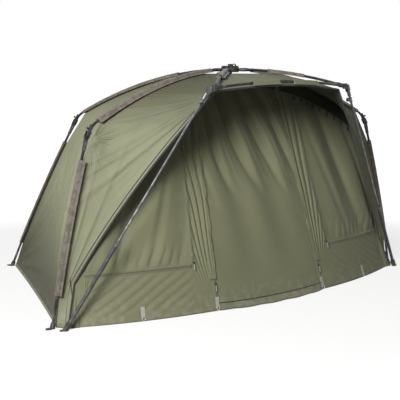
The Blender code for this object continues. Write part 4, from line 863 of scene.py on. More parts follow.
def build_looks():
    colours = bpy.context.scene.tent_colours
    groups = {"weave": weave_group(), "ageing_and_shade": ageing_and_shade_group(), "wear": wear_group(), "tension": tension_group()}
    seam_lines()
    for kind, (first, second) in KINDS.items():
        grid = span_grid(SEAMS[first], SEAMS[second], 8, SAGS[kind])
        chart = wall_chart(SEAMS[first], SEAMS[second], grid, 1)
        creases = WING_CREASES if kind == "wing" else WALL_CREASES
        # painted light: the side and rear walls' cloth is 1.58 times the canopy colour and the wings' 1.04 times, a
        # brightness for how the light falls on each
        brightness, ground_shade, crown_shade, depth = (1.04, 0.0, 0.48, 0.0075) if kind == "wing" else (1.58, 0.74, 0.36, 0.0030)
        LOOKS[kind] = cloth_material(
            f"canopy cloth of the {kind}", [brightness * c for c in colours.canopy], groups, roughness=0.58, sheen=0.0,
            creases=[(chart_spot(grid, chart, *place), *shape) for place, *shape in creases], crease_depth=depth,
            ground_shade=ground_shade, crown_shade=crown_shade, gloss=0.02,
        )
    left, right = (SEAMS["brow", side][CORNER_ROWS - 1] for side in SIDES)
    edge = float(np.linalg.norm(right - left)) / 2
    # painted shade: the roof's cloth darkens a little toward the crown
    LOOKS["roof"] = cloth_material(
        "canopy cloth of the roof", colours.canopy, groups, roughness=0.58, sheen=0.0,
        creases=[((side * edge, 0.62), 18.0, 0.55) for side in (1, -1)], crown_shade=0.06, gloss=0.08,
    )
    # painted shade: the canopy's inside is 0.30 of its colour, for the shade inside the tent
    LOOKS["inside"] = cloth_material("painted shade inside", [0.30 * c for c in colours.canopy], groups, roughness=0.62)
    LOOKS["panel"] = cloth_material("front panel cloth", colours.panel, groups, roughness=0.8, sheen=0.08)
    LOOKS["tape"] = cloth_material(
        "zip tape", [0.90 * c for c in colours.panel], groups, roughness=0.85, pitch=0.0014, sheen=0.2, crumple=0.0004
    )
    # painted shade: the near-black band above the arch stands for the shade under the brow
    LOOKS["painted_shade"] = cloth_material("painted shade cloth", colours.painted_shade, groups, roughness=0.85, sheen=0.05)
    LOOKS["sleeve"] = cloth_material(
        "sleeve cloth", colours.sleeve, groups, roughness=0.85, pitch=0.0020, sheen=0.2, crumple=0.0010, ageing_and_shade=0.5,
        print_colour=(0.098, 0.087, 0.070),
    )
    LOOKS["webbing"] = webbing_material("black webbing", colours.webbing, groups)
    LOOKS["pale"] = webbing_material("pale webbing", colours.pale_webbing, groups)
    for key, (name, colour, *finish) in HARD_LOOKS.items():
        LOOKS[key] = hard_material(name, colour, groups, *finish)


# The canopy


SEAMS = {}
SHELL = {}


def seam_lines():
    for side in SIDES:
        SEAMS["brow", side] = brow_cloth_line(side)
        for end in RIBS:
            SEAMS[end, side] = [to_world(p, rib_turn(end, side)) for p in rib_cloth_line(end)]


def wall_chart(first, second, grid, hand):
    """Distances along and down a wall's own plane, from the hub.

    A crease that is straight in this chart is straight in space.
    """
    start = np.array((0, HUB.y, HUB.z))
    low = np.array([tuple(p) for line in (first, second) for p in line[TOP_ROWS * FINE // 2:]])
    facing = np.linalg.svd(low - low.mean(axis=0))[2][2]
    along = np.cross((0, 0, 1), facing)
    along *= np.sign((grid[:, -1] - grid[:, 0]).mean(axis=0).dot(along)) / np.linalg.norm(along)
    down = np.cross(facing, along)
    down *= -np.sign(down[2])
    return np.stack(((grid - start) @ along * hand, (grid - start) @ down), axis=2)


# Folds in the cloth itself: depth, height and seam of their point, heading, spread, count and reach
WING_FANS = (
    (0.80, (1.18, 0), 50, 46, 8.0, 0.36), (0.80, (1.18, 0), 14, 24, 4.0, 0.55),
    (0.30, (0.95, 1), -50, 36, 3.0, 0.30), (0.45, (0.12, 1), -166, 18, 3.0, 0.45),
)
WALL_FANS = (
    (0.55, (0.92, 0), 34, 38, 5.5, 0.34), (0.55, (0.92, 1), -34, 38, 5.5, 0.34),
    (1.30, (0.02, 0), 144, 36, 5.0, 0.40), (1.60, (0.02, 1), -122, 46, 6.0, 0.42),
    (0.18, None, 0, 24, 5.0, 0.60),
)
ABOVE_HUB = (0.0, -0.20)
FAN_SEEDS = {"wing": 11, "side": 20, "rear": 40}


def span_creases(kind, grid, chart, hand):
    """How deep a panel's cloth dips: tension creases out of its corners, and a slow unevenness."""
    across, down = chart[..., 0], chart[..., 1]
    seams = [0, -1] if hand > 0 else [-1, 0]
    measure = measure_grid(grid)[..., 0]
    wanted = 0.22 * soft_noise(across, down, 0.45, len(kind))
    for step, (depth, place, *shape) in enumerate(WING_FANS if kind == "wing" else WALL_FANS):
        spot = chart_spot(grid, chart, place[0], seams[place[1]]) if place else ABOVE_HUB
        wanted += depth * fan(across, down, spot, *shape, FAN_SEEDS[kind] + step)
    held = smooth(0, 0.050, np.abs(measure[:, :1]) - np.abs(measure))
    from_hub = np.linalg.norm(grid - np.array(HUB), axis=2)
    return wanted * held * smooth(0.05, 0.35, from_hub) * smooth(0.0, 0.10, grid[..., 2])


def roof_grid():
    """The top between the short ribs, drawn down a little in the middle."""
    left, right = SEAMS["brow", "left"], SEAMS["brow", "right"]
    top = np.zeros((CORNER_ROWS, TOP_COLUMNS + 1, 3))
    for spot in range(CORNER_ROWS):
        share = (spot + 1) / CORNER_ROWS
        bulge = Vector((0, -BAR_BULGE - CORNER_CLOTH_DROP, BAR_RISE)) * share**4
        for step in range(TOP_COLUMNS + 1):
            part = step / TOP_COLUMNS
            bow = 4 * part * (1 - part)
            point = mix(left[spot], right[spot], part) + bulge * bow
            top[spot, step] = point - Z_AXIS * TOP_SAG * bow * math.sin(math.pi * share)
    return top


def roof_creases(chart):
    across, down = chart[..., 0], chart[..., 1]
    width = np.abs(across[:, :1])
    edge = float(width[-1, 0])
    wanted = 0.8 * fan(across, down, (edge, float(down[-1, -1])), 215, 40, 6.0, 0.18, 5)
    wanted += 0.8 * fan(across, down, (-edge, float(down[-1, 0])), 145, 40, 6.0, 0.18, 6)
    wanted += 0.3 * soft_noise(across, down, 0.28, 7)
    wanted = wanted * smooth(0, 0.05, width - np.abs(across)) * smooth(0, 0.04, down[-1:] - down)
    return wanted * smooth(0.05, 0.3, down)


def canopy_panel(name, grid, creases, wall, look):
    """One cut panel of the canopy: outside cloth, an inside darkened as painted shade, held by the ribs."""
    sizes = bpy.context.scene.tent_sizes
    measure = measure_grid(grid)
    grid = grid - grid_normals(grid, INSIDE) * (creases * sizes.crease_depth)[..., None]
    rows, columns = grid.shape[:2]
    panel = make_sheet(name, grid, measure, (0, HUB.y, HUB.z - CLOTH_SET - HUB_DIP), wall)
    outward = Vector(grid[rows // 2, columns // 2]) - Vector(INSIDE)
    if panel.data.polygons[rows * columns // 2].normal.dot(outward) < 0:
        panel.data.flip_normals()
    SHELL["faces"] += [tuple(v + len(SHELL["points"]) for v in face.vertices) for face in panel.data.polygons]
    SHELL["points"] += [vertex.co.copy() for vertex in panel.data.vertices]
    for side in (look, "inside"):
        panel.data.materials.append(LOOKS[side])
    thicken(panel, sizes.canopy_cloth, inside=1)
    stand(panel)
    dress(panel, None, "cover")
    return grid, panel


HEM_TOP, HEM_CLOTH, HEM_LIFT, HEM_FOOT = 0.034, 0.0008, 0.0012, 0.0009


def build_canopy():
    """Six cut panels over the whole frame, open at the front below the brow, with a hem round the ground."""
    SHELL.update(points=[], faces=[])
    layout = (
        ("wing_right", "wing", ("brow", "right"), ("front", "right"), 1),
        ("side_right", "side", ("front", "right"), ("rear", "right"), 1),
        ("rear_wall", "rear", ("rear", "right"), ("rear", "left"), 1),
        ("side_left", "side", ("rear", "left"), ("front", "left"), -1),
        ("wing_left", "wing", ("front", "left"), ("brow", "left"), -1),
    )
    made = []
    for name, kind, first, second, hand in layout:
        grid = span_grid(SEAMS[first], SEAMS[second], SPAN_COLUMNS[kind], SAGS[kind])
        chart = wall_chart(SEAMS[first], SEAMS[second], grid, hand)
        grid, panel = canopy_panel(name, grid, span_creases(kind, grid, chart, hand), chart, kind)
        SHELL[name] = grid
        made.append(panel)
        low = grid[:, 0, 2] < HEM_TOP
        hem = grid[low] + grid_normals(grid, INSIDE)[low] * HEM_LIFT
        hem[..., 2] = np.maximum(hem[..., 2], HEM_FOOT)
        measure = measure_grid(hem)
        strip = make_sheet(f"hem_{name}", hem, measure)
        thicken(strip, HEM_CLOTH)
        stand(strip)
        dress(strip, "panel", "cover")
    top = roof_grid()
    chart = measure_grid(top)
    SHELL["roof"], panel = canopy_panel("roof", top, roof_creases(chart), chart, "roof")
    for panel in [*made, panel]:
        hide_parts("canopy")
    SHELL["tree"] = BVHTree.FromPolygons(SHELL["points"], SHELL["faces"])


def build_edge_binding():
    """Dark binding down both free edges and along the brow, with the hem's seam beside it."""
    radius = bpy.context.scene.tent_sizes.piping
    seam_radius, seam_inset, seam_lift = radius * 0.45, 0.021, 0.0008
    runs = {"brow_binding": (SHELL["roof"][-1], radius)}
    for side, near, far in (("right", 0, 1), ("left", -1, -2)):
        wing = SHELL[f"wing_{side}"]
        start, step = wing[CORNER_ROWS - 1:, near], wing[CORNER_ROWS - 1:, far]
        away = (step - start) / np.linalg.norm(step - start, axis=1, keepdims=True)
        out = grid_normals(wing, INSIDE)[CORNER_ROWS - 1:, near]
        runs[f"edge_binding_{side}"] = (start, radius)
        runs[f"edge_seam_{side}"] = (start + away * seam_inset + out * seam_lift, seam_radius)
    for name, (run, size) in runs.items():
        points = [Vector(p) for p in run]
        points = [p + Z_AXIS * max(0, size - p.z) for p in points]
        band(name, points, circle_profile(size) * np.array((1.0, 1.25)))


# The front panel


def panel_base(share, height):
    """The smooth front panel at shares of its half span and heights."""
    share, height = np.asarray(share, float), np.asarray(height, float)
    rise = height / PANEL_LEAN_HEIGHT
    forward = PANEL_BULGE * (1 - np.abs(share) ** PANEL_BULGE_POWER)
    tuck = PANEL_TUCK * np.abs(share) ** PANEL_TUCK_POWER * np.clip(height / EDGE_KNEE.z, 0, 1)
    x = share * PANEL_HALF_SPAN - PANEL_TAPER * share * (1 - share**2) * height
    y = tuck - PANEL_SETBACK - forward * (1 - rise) + PANEL_LEAN_BACK * rise
    return np.stack((x, y, height + 0 * share), axis=-1)


def panel_head(share):
    """The height at which the panel's slope meets the canopy."""
    low, high = (Vector(panel_base(share, h)) for h in (0, PANEL_LEAN_HEIGHT))
    along = (high - low).normalized()
    hit = SHELL["tree"].ray_cast(low + along * 0.005, along)[0]
    return hit.z - 0.0012 if hit else 0.004


HEADS = {"shares": np.linspace(-1.03, 1.03, 413), "heights": None}


def head_at(share):
    if HEADS["heights"] is None:
        HEADS["heights"] = np.array([panel_head(float(s)) for s in HEADS["shares"]])
    return np.interp(share, HEADS["shares"], HEADS["heights"])


# Depths of the front's folds: on the door, on the window flaps, over their sills and in the skirt
DOOR_DRAPE, DOOR_FINE, DOOR_DRAG = 0.0230, 0.0018, 0.0030
FLAP_DRAPE, FLAP_FOLD, SILL_FOLD, SKIRT_FOLD = 0.0170, 0.0070, 0.0030, 0.0021


def door_folds(share, height, rise, bell):
    """Folds that hang aslant from the door's head, finer ones on them, and drags beside the zips."""
    local = share / DOOR_SHARE
    inside = np.clip(1 - local**2, 0, 1)
    depth = bpy.context.scene.tent_sizes.door_fold
    folds = depth * inside * bell * np.sin(math.pi * (2.6 * local + FOLD_SLANT * rise))
    high = smooth(0.36, 0.66, rise) * smooth(1.0, 0.90, rise)
    slant = local + 1.15 * (rise - 1) + 0.10 * soft_noise(share, height, 0.8, 3)
    folds = folds + DOOR_DRAPE * inside**0.4 * high * ripple(math.pi * 4.4 * slant)
    folds = folds + DOOR_FINE * inside**0.4 * high * ripple(math.pi * 13.5 * slant + 1.0)
    drag = smooth(0.45, 1.0, np.abs(local)) * smooth(1.0, 0.97, np.abs(local)) * bell
    return folds + DOOR_DRAG * drag * ripple(math.pi * (3.0 * local + 11.0 * rise))


def zip_gathers(share, height, bell):
    """Gathers that run out of a door zip's foot into the strip between door and window."""
    past = np.abs(share) - DOOR_SHARE
    foot = np.arctan2(past + 0.004, height / PANEL_HALF_SPAN + 0.035)
    strip = past / (WINDOW_SHARE - DOOR_SHARE)
    on_strip = smooth(0, 0.10, strip) * smooth(1.15, 0.80, strip)
    length = np.hypot(past, height / PANEL_HALF_SPAN)
    lines = ripple(foot * 88.0 + 1.3 * soft_noise(share, height, 0.5, 9) + 2.0 * strip)
    depth = bpy.context.scene.tent_sizes.gather
    return depth * on_strip * smooth(0.02, 0.30, length) * (0.45 + 0.55 * bell) * lines


def window_folds(share, height, rise, bell):
    """Folds of the window's flap, short ones over its sill, and ripples in the skirt below."""
    across = np.abs(share)
    window = (across - WINDOW_SHARE) / (1 - WINDOW_SHARE)
    on_window = np.clip(5 * window * (1 - window), 0, 1)
    drape = FLAP_DRAPE * on_window * bell * np.sin(math.pi * (7.0 * across + FOLD_SLANT * rise))
    drape = drape + FLAP_FOLD * on_window * bell * ripple(math.pi * (13.0 * across + 3.4 * rise) + 2.0)
    short = smooth(WINDOW_SILL, WINDOW_SILL + 0.02, height) * smooth(WINDOW_SILL + 0.16, WINDOW_SILL + 0.03, height)
    leaning = across / 0.024 + np.where(share < 0, 1.0, -1.0) * (height - WINDOW_SILL) / 0.085
    leaning = math.pi * leaning + 1.5 * soft_noise(share, height, 0.2, 15)
    drape = drape + SILL_FOLD * short * on_window * ripple(leaning)
    sill = smooth(0.02, 0.07, height) * smooth(WINDOW_SILL, WINDOW_SILL - 0.04, height)
    below = across / 0.036 + height / 0.026 + 0.5 * soft_noise(share, height, 0.6, 13)
    skirt = SKIRT_FOLD * smooth(0, 0.06, window) * smooth(1, 0.75, window) * sill * ripple(math.pi * below)
    return drape * smooth(WINDOW_SILL - 0.01, WINDOW_SILL + 0.06, height), skirt


def panel_fold(share, height):
    """How far the front cloth stands forward of its smooth shape."""
    share, height = np.broadcast_arrays(np.asarray(share, float), np.asarray(height, float))
    head = np.maximum(head_at(share), FOLD_FOOT + 0.01)
    rise = np.clip((height - FOLD_FOOT) / (head - FOLD_FOOT), 0, 1)
    bell = np.sin(math.pi * rise)
    drape, skirt = window_folds(share, height, rise, bell)
    side = zip_gathers(share, height, bell) + drape + skirt
    door = door_folds(share, height, rise, bell)
    return np.where(np.abs(share) <= DOOR_SHARE, door, side) * smooth(0.0, 0.03, height)


def panel_surface(share, height, lift=0.0):
    """The folded front panel, moved off its face by a lift."""
    base = panel_base(share, height)
    up = panel_base(share, np.asarray(height) + 0.004) - base
    right = panel_base(np.asarray(share) + 0.004, height) - base
    out = np.cross(right, up)
    out /= np.linalg.norm(out, axis=-1, keepdims=True)
    base[..., 1] -= panel_fold(share, height)
    return base + out * np.asarray(lift)[..., None]


def panel_line(shares, heights, lift):
    return [Vector(p) for p in panel_surface(shares, heights, lift)]


def front_cloth(name, grid, thickness, facing=(0, -1, 0)):
    """A cloth of the front, turned to look outward and thickened inward."""
    obj = make_sheet(name, grid, measure_grid(grid))
    if obj.data.polygons[len(obj.data.polygons) // 2].normal.dot(Vector(facing)) < 0:
        obj.data.flip_normals()
    thicken(obj, thickness)
    return obj


def panel_sheet(name, shares):
    heights = np.linspace(1, 0, PANEL_ROWS + 1)[:, None] * head_at(shares)
    obj = front_cloth(name, panel_surface(shares, heights), bpy.context.scene.tent_sizes.panel_cloth)
    stand(obj)
    return dress(obj, "panel", "cover")


def build_front():
    """The door and the two infills beside it."""
    gap = 0.0006
    edge = DOOR_SHARE - gap
    door = panel_sheet("door_cloth", np.linspace(-edge, edge, DOOR_COLUMNS + 1))
    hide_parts("door")
    for side, sign in SIDES.items():
        strip = np.linspace(DOOR_SHARE + gap, WINDOW_SHARE, 41)
        rest = np.linspace(WINDOW_SHARE, INFILL_END_SHARE, INFILL_COLUMNS + 1)[1:]
        shares = np.concatenate((strip, rest)) * sign
        infill = panel_sheet(f"infill_cloth_{side}", shares)
        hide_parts(f"infill_{side}")


GUSSET_SHARE, GUSSET_HEIGHT, GUSSET_CLOTH = 0.955, 0.300, 0.0012
GUSSET_SINK, GUSSET_TUCK, GUSSET_RIPPLE = 0.0030, 0.0045, 0.0025


def build_gussets():
    """The cloth that joins each infill's low outer corner to the canopy's free edge."""
    for side, sign in SIDES.items():
        wing = SHELL[f"wing_{side}"]
        column = 3 if side == "right" else -4
        line = wing[:, column] - grid_normals(wing, INSIDE)[:, column] * GUSSET_TUCK
        heights = np.linspace(0, GUSSET_HEIGHT, 41)
        order = np.argsort(line[:, 2])
        outer = np.stack([np.interp(heights, line[order, 2], line[order, axis]) for axis in range(3)], axis=1)
        inner = panel_surface(GUSSET_SHARE * sign, heights, -GUSSET_SINK)
        part = np.linspace(0, 1, 25)[None, :, None]
        grid = inner[:, None] * (1 - part) + outer[:, None] * part
        waves = np.sin(part[..., 0] * 17.0 + heights[:, None] * 30.0) * np.sin(math.pi * part[..., 0])
        grid[..., 1] += GUSSET_RIPPLE * waves
        measure = measure_grid(grid)
        obj = make_sheet(f"gusset_{side}", grid, measure)
        thicken(obj, GUSSET_CLOTH)
        stand(obj)
        dress(obj, "panel", "cover")


def strip_on_panel(name, shares, heights, offsets, lifts, thickness, look):
    """A narrow strip of cloth that follows the front panel along a path, with a lift at each line across it."""
    step_share, step_height = np.gradient(shares) * PANEL_HALF_SPAN, np.gradient(heights)
    run = np.hypot(step_share, step_height)
    right_share, right_height = step_height / run / PANEL_HALF_SPAN, -step_share / run
    share = shares[:, None] + offsets * right_share[:, None]
    height = heights[:, None] + offsets * right_height[:, None]
    obj = front_cloth(name, panel_surface(share, np.maximum(height, 0.0005), lifts), thickness)
    dress(obj, look, "cover")


ZIP_CLOTH, TOOTH_PITCH = 0.0006, 0.0050
ZIP_STEP, SILL_STEP = 0.00125, 0.00105
FLAP_FOOT, FLAP_HALF_WIDTH, FLAP_CLOTH, FLAP_WAVE = 0.165, 0.024, 0.0012, 0.083


def zip_strip(name, shares, heights):
    """A zip: tape in the cloth's colour and a narrow dark coil whose teeth stand up."""
    width = bpy.context.scene.tent_sizes.zip_width
    tape = np.array((-0.5, -0.47, -0.2, 0.0, 0.2, 0.47, 0.5)) * width
    rise = np.array((0.0004, 0.0012, 0.0012, 0.0012, 0.0012, 0.0012, 0.0004))
    strip_on_panel(f"{name}_tape", shares[::4], heights[::4], tape, rise, ZIP_CLOTH, "tape")
    coil = np.array((-0.0022, -0.0016, -0.0005, 0.0005, 0.0016, 0.0022))
    run = np.hypot(np.gradient(shares) * PANEL_HALF_SPAN, np.gradient(heights))
    teeth = 0.5 + 0.5 * np.sin(np.cumsum(run) * math.tau / TOOTH_PITCH)
    crest = np.array((0.1, 0.9, 0.6, 0.6, 0.9, 0.1))
    lifts = 0.0016 + crest[None, :] * (0.0010 + 0.0010 * teeth[:, None])
    strip_on_panel(f"{name}_coil", shares, heights, coil, lifts, ZIP_CLOTH, "zip")


def build_zips():
    """Zips up both sides of the door and round each window, and a storm flap beside each door zip."""
    for side, sign in SIDES.items():
        door_head, window_head = float(head_at(DOOR_SHARE)), float(head_at(WINDOW_SHARE))
        heights = np.arange(0.035, door_head - 0.06, ZIP_STEP)
        zip_strip(f"zip_door_{side}", np.full_like(heights, DOOR_SHARE * sign), heights)
        heights = np.arange(WINDOW_SILL + 0.015, window_head - 0.10, ZIP_STEP)
        wander = 0.0016 * ripple(heights * 61.0 + sign) + 0.0010 * ripple(heights * 137.0)
        zip_strip(f"zip_window_{side}", (WINDOW_SHARE + wander) * sign, heights)
        shares = np.arange(WINDOW_SHARE + 0.010, WINDOW_END_SHARE, SILL_STEP) * sign
        zip_strip(f"zip_sill_{side}", shares, np.full_like(shares, WINDOW_SILL))
        heights = np.linspace(FLAP_FOOT, door_head - 0.03, 320)
        shares = np.full_like(heights, DOOR_SHARE + 0.010) * sign
        across = np.linspace(-FLAP_HALF_WIDTH, FLAP_HALF_WIDTH, 13)
        held = (np.linspace(0, 1, 13) if sign > 0 else np.linspace(1, 0, 13))[None, :]
        ruffle = ripple(heights / FLAP_WAVE * math.tau + 1.7 * np.sin(heights * 9.0))[:, None]
        lifts = 0.0044 + (0.0016 + 0.0011 * ruffle) * (1 - held) ** 1.6 - 0.0030 * held**4
        strip_on_panel(
            f"storm_flap_{side}", shares, heights, across, lifts, FLAP_CLOTH, "panel"
        )


# The near-black band above the arch is painted shade under the brow
SHADE_BAND_CLOTH, SHADE_BAND_LIFT, ARCH_BINDING_LIFT, ARCH_BINDING_RADIUS = 0.0010, 0.0030, 0.0042, 0.0022
SHADE_BAND_SHARE, SHADE_BAND_NARROW, SHADE_BAND_WIDER = 0.955, 0.012, 0.070
LOOP_SHARES, LOOP_DROP = (0.46, 0.80), 0.010
LOOP_HALF_WIDTH, LOOP_HALF_THICK, LOOP_LIFT = 0.006, 0.0007, 0.0016
LOOP_PATH = ((0, 0.000), (0.0045, 0.006), (0.0060, 0.013), (0.0045, 0.020), (0.0, 0.026))


def build_shade_band():
    """A near-black band above the front panel's arch, painted shade under the brow, wide at the top and narrow down
    the sides, bound and looped.
    """
    shares = np.linspace(-SHADE_BAND_SHARE, SHADE_BAND_SHARE, 300)
    heads = head_at(shares)
    slope = np.gradient(heads, shares) / PANEL_HALF_SPAN
    width = SHADE_BAND_NARROW + SHADE_BAND_WIDER * smooth(0.42, 0.95, heads)
    low = heads - width * np.sqrt(1 + np.minimum(slope**2, 9.0))
    height = heads - (heads - low) * np.linspace(0, 1, 9)[:, None]
    obj = front_cloth("shade_band", panel_surface(shares, height, SHADE_BAND_LIFT), SHADE_BAND_CLOTH)
    dress(obj, "painted_shade", "cover")
    band("arch_binding", panel_line(shares, low, ARCH_BINDING_LIFT), circle_profile(ARCH_BINDING_RADIUS))
    build_loops(shares, low)


def build_loops(shares, low):
    """Stitched webbing loops along both sides of the arch, each bent round the cloth where it stands."""
    count = bpy.context.scene.tent_sizes.loops
    for side, sign in SIDES.items():
        for step in range(count):
            share = sign * mix(*LOOP_SHARES, step / (count - 1))
            height = float(np.interp(share, shares, low)) - LOOP_DROP
            points = [Vector(panel_surface(share, height - down, LOOP_LIFT + out)) for out, down in LOOP_PATH]
            profile = flat_profile(LOOP_HALF_WIDTH, LOOP_HALF_THICK)
            band(f"arch_loop_{side}_{step + 1}", points, profile, side=X_AXIS)


DOOR_HEM, HEM_BOW, HEM_PIPING, PIPING_LIFT = 0.030, 0.010, 0.0026, 0.0024
GROUND_CLOTH, GROUND_REACH, GROUND_LEAST, GROUND_CURL, GROUND_PIPING = 0.0012, 0.045, 0.006, 0.0035, 0.0028


def build_hems():
    """Piping along the door's hem and the ground cloth below it."""
    shares = np.linspace(-DOOR_SHARE * 0.985, DOOR_SHARE * 0.985, 90)
    heights = DOOR_HEM + HEM_BOW * (shares / DOOR_SHARE) ** 2
    band("door_piping", panel_line(shares, heights, PIPING_LIFT), circle_profile(HEM_PIPING))
    reach = GROUND_REACH * np.clip(1 - (shares / DOOR_SHARE) ** 2, 0, 1) ** 0.6 + GROUND_LEAST
    start = panel_surface(shares, heights - 0.006, 0.0012)
    ground = start.copy()
    ground[:, 2] = 0.0022
    ground[:, 1] -= reach
    curl = GROUND_CURL * (1 + np.sin(shares * 41.0)) * 0.5
    part = np.linspace(0, 1, 22)[:, None]
    grid = start * (1 - part[..., None]) + ground * part[..., None]
    grid[..., 2] = start[:, 2] * (1 - part) ** 2.6 + ground[:, 2] + curl * part**3
    obj = front_cloth("door_ground_cloth", grid, GROUND_CLOTH, (0, 0, 1))
    dress(obj, "panel", "cover")
    edge = [Vector(p) + Vector((0, -0.001, 0.001)) for p in grid[-1]]
    band("door_ground_hem", edge, circle_profile(GROUND_PIPING))


# Sleeves on the ribs


SLEEVE_ROUND, FLANGE_START = 0.088, 0.018


def sleeve_profile():
    """Half of a sleeve's outline, oval over the tube with a sewn flange, then mirrored."""
    half = [(0.0, 0.0108), (0.0050, 0.0105), (0.0095, 0.0091), (0.0130, 0.0062), (0.0152, 0.0024), (0.0166, -0.0018),
            (0.0186, -0.0048), (0.0222, -0.0070), (0.0258, -0.0086), (0.0262, -0.0098), (0.0215, -0.0092),
            (0.0160, -0.0094), (0.0100, -0.0098), (0.0, -0.0100)]
    return np.array(half + [(-x, y) for x, y in reversed(half[1:-1])])


def sleeve(name, points, side, look, node_name, body):
    """A cloth sleeve with puckered flanges and open, turned ends."""
    outer = sleeve_profile()
    count, rows = len(outer), len(points)
    inner = circle_profile(TUBE_BORE, count, math.pi / 2, -1)
    total, around = lengths_along(points), profile_lengths(outer)
    verts, uv = [], []
    for outline in (outer, inner):
        for spot, point in enumerate(points):
            along = row_direction(points, spot)
            wide = (side - along * side.dot(along)).normalized()
            up = along.cross(wide).normalized()
            if up.z < 0 or (abs(up.z) < 0.35 and up.dot(point - Vector((0, HUB.y, point.z))) < 0):
                up = -up
            run = total[spot]
            pucker = 1 + 0.030 * math.sin(run * 311.0) + 0.035 * math.sin(run * 97.0 + 1.0)
            flare = 1 + 0.06 * math.exp(-min(run, total[-1] - run) / 0.006)
            for step, (x, y) in enumerate(outline):
                if outline is outer:
                    lift = 0.0006 * math.sin(run * 420.0 + 2.0 * x / abs(x)) if abs(x) > FLANGE_START else 0.0
                    x, y = x * (1 + 0.25 * (pucker - 1)) * flare, y * (pucker if y > 0 else 1) * flare + lift
                verts.append(tuple(point + wide * float(x) + up * float(y)))
                uv.append((around[step], run))
    second = rows * count
    faces = tube_faces(rows, count) + tube_faces(rows, count, second)
    for start in (0, second - count):
        for step in range(start, start + count):
            nxt = start + (step + 1 - start) % count
            faces.append((step, nxt, second + nxt, second + step))
    obj = new_piece(name, verts, faces, {"cloth": np.array(uv)})
    edit_all(obj, bpy.ops.mesh.normals_make_consistent, inside=False)
    bpy.ops.object.shade_smooth_by_angle(angle=math.radians(50))
    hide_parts(node_name)
    dress(obj, look, body, folds=False)


def turned_sleeve(name, points, turn, node_name, body):
    """A taupe sleeve on a line in a rib's own plane, turned to the rib."""
    across = Matrix.Rotation(turn, 3, "Z") @ Y_AXIS
    sleeve(name, [to_world(p, turn) for p in points], across, "sleeve", node_name, body)


def build_sleeves():
    """Twelve sleeves that hold the canopy to its ribs, legs, short ribs and brow bar."""
    upper, line = upper_line(), brow_line()
    end = distance_at(upper, 0, UPPER_SLEEVE_END)
    for rib, begin in SLEEVE_STARTS.items():
        arch = portion(upper, distance_at(upper, 0, begin), end, 150)
        shank = leg_sleeve_line(rib, 130)
        for side in SIDES:
            tag = f"{rib}_{side}"
            turned_sleeve(f"arch_sleeve_{tag}", arch, rib_turn(rib, side), f"rib_sleeve_{tag}", f"arm_{tag}")
            turned_sleeve(f"leg_wrap_{tag}", shank, rib_turn(rib, side), f"leg_sleeve_{tag}", f"shin_{tag}")
    start, end = (distance_at(line, 0, reach) for reach in BROW_SLEEVE)
    short = portion(line, start, end, 50)
    for side, sign in SIDES.items():
        turned_sleeve(f"short_sleeve_{side}", short, brow_turn(side), f"brow_rib_sleeve_{side}", f"brow_{side}")
        bar = [bar_point(sign * mix(*BAR_SLEEVE, step / 50)) for step in range(51)]
        sleeve(f"bar_wrap_{side}", bar, Y_AXIS, "panel", f"brow_bar_sleeve_{side}", f"brow_{side}")


# Webbing and fittings


STRAP_SIZE, STRAP_MIDDLE, STRAP_LIFT, STRAP_FOOT = (0.022, 0.0022, 0.058), 0.044, 0.0018, 0.003
STITCHED, STITCH_DEPTH = (0.050, 0.066), 0.0008
RING_RADIUS, RING_WIRE, RING_PLACE = 0.0088, 0.0019, (0, -0.0026, 0.0095)
RUNNER_SIZE, RUNNER_LIFT, RUNNER_DROP = (0.0090, 0.0048, 0.0140), 0.0060, 0.007
RUNNER_WAIST, RUNNER_TAPER = -0.004, 0.72
PULL_START, PULL_LENGTH, PULL_PROFILE = (0, -0.0030, -0.004), 0.034, flat_profile(0.0032, 0.0009)
HUB_LOOP_PROFILE = ribbon_profile(0.005, 0.0044, 0.0013, 0.0011)
HUB_STRAP_PROFILE = ribbon_profile(0.015, 0.0142, 0.0016, 0.0012)


def panel_turn(share, height):
    """The turn that stands an upright piece on the front panel, its back to the cloth."""
    base = panel_base(share, height)
    up = Vector(panel_base(share, height + 0.02) - base).normalized()
    across = Vector(panel_base(share + 0.002, height) - base).normalized()
    back = up.cross(across).normalized()
    return Matrix((back.cross(up), back, up)).transposed().to_4x4()


def build_peg_tabs():
    for kind, place in TAB_SHARES.items():
        for side, sign in SIDES.items():
            tag, share = f"{kind}_{side}", place * sign
            turn = panel_turn(share, 0.0)
            spot = Vector(panel_base(share, 0.0)) - turn.col[1].to_3d() * STRAP_LIFT
            spot.z = STRAP_FOOT
            home = Matrix.Translation(spot) @ turn
            strap = cut_box(f"peg_strap_{tag}", STRAP_SIZE, STRAP_MIDDLE, 9)
            for vertex in strap.data.vertices:
                z = vertex.co.z
                vertex.co.y += 0.0005 * math.sin(z * 150.0)
                if STITCHED[0] < z < STITCHED[1] and vertex.co.y < -0.0006:
                    vertex.co.y -= STITCH_DEPTH
            round_edges(strap, 0.0006)
            settle(strap, home)
            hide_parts(f"peg_tab_{tag}")
            dress(strap, "pale", "cover")
            bpy.ops.object.select_all(action="DESELECT")
            bpy.ops.mesh.primitive_torus_add(
                major_radius=RING_RADIUS, minor_radius=RING_WIRE, major_segments=36, minor_segments=12
            )
            ring = bpy.context.object
            ring.name = f"peg_ring_{tag}"
            settle(ring, Matrix.Translation(RING_PLACE) @ Matrix.Rotation(math.pi / 2, 4, "X"))
            settle(ring, home)
            bpy.ops.object.shade_smooth()
            dress(ring, "ring", "cover")


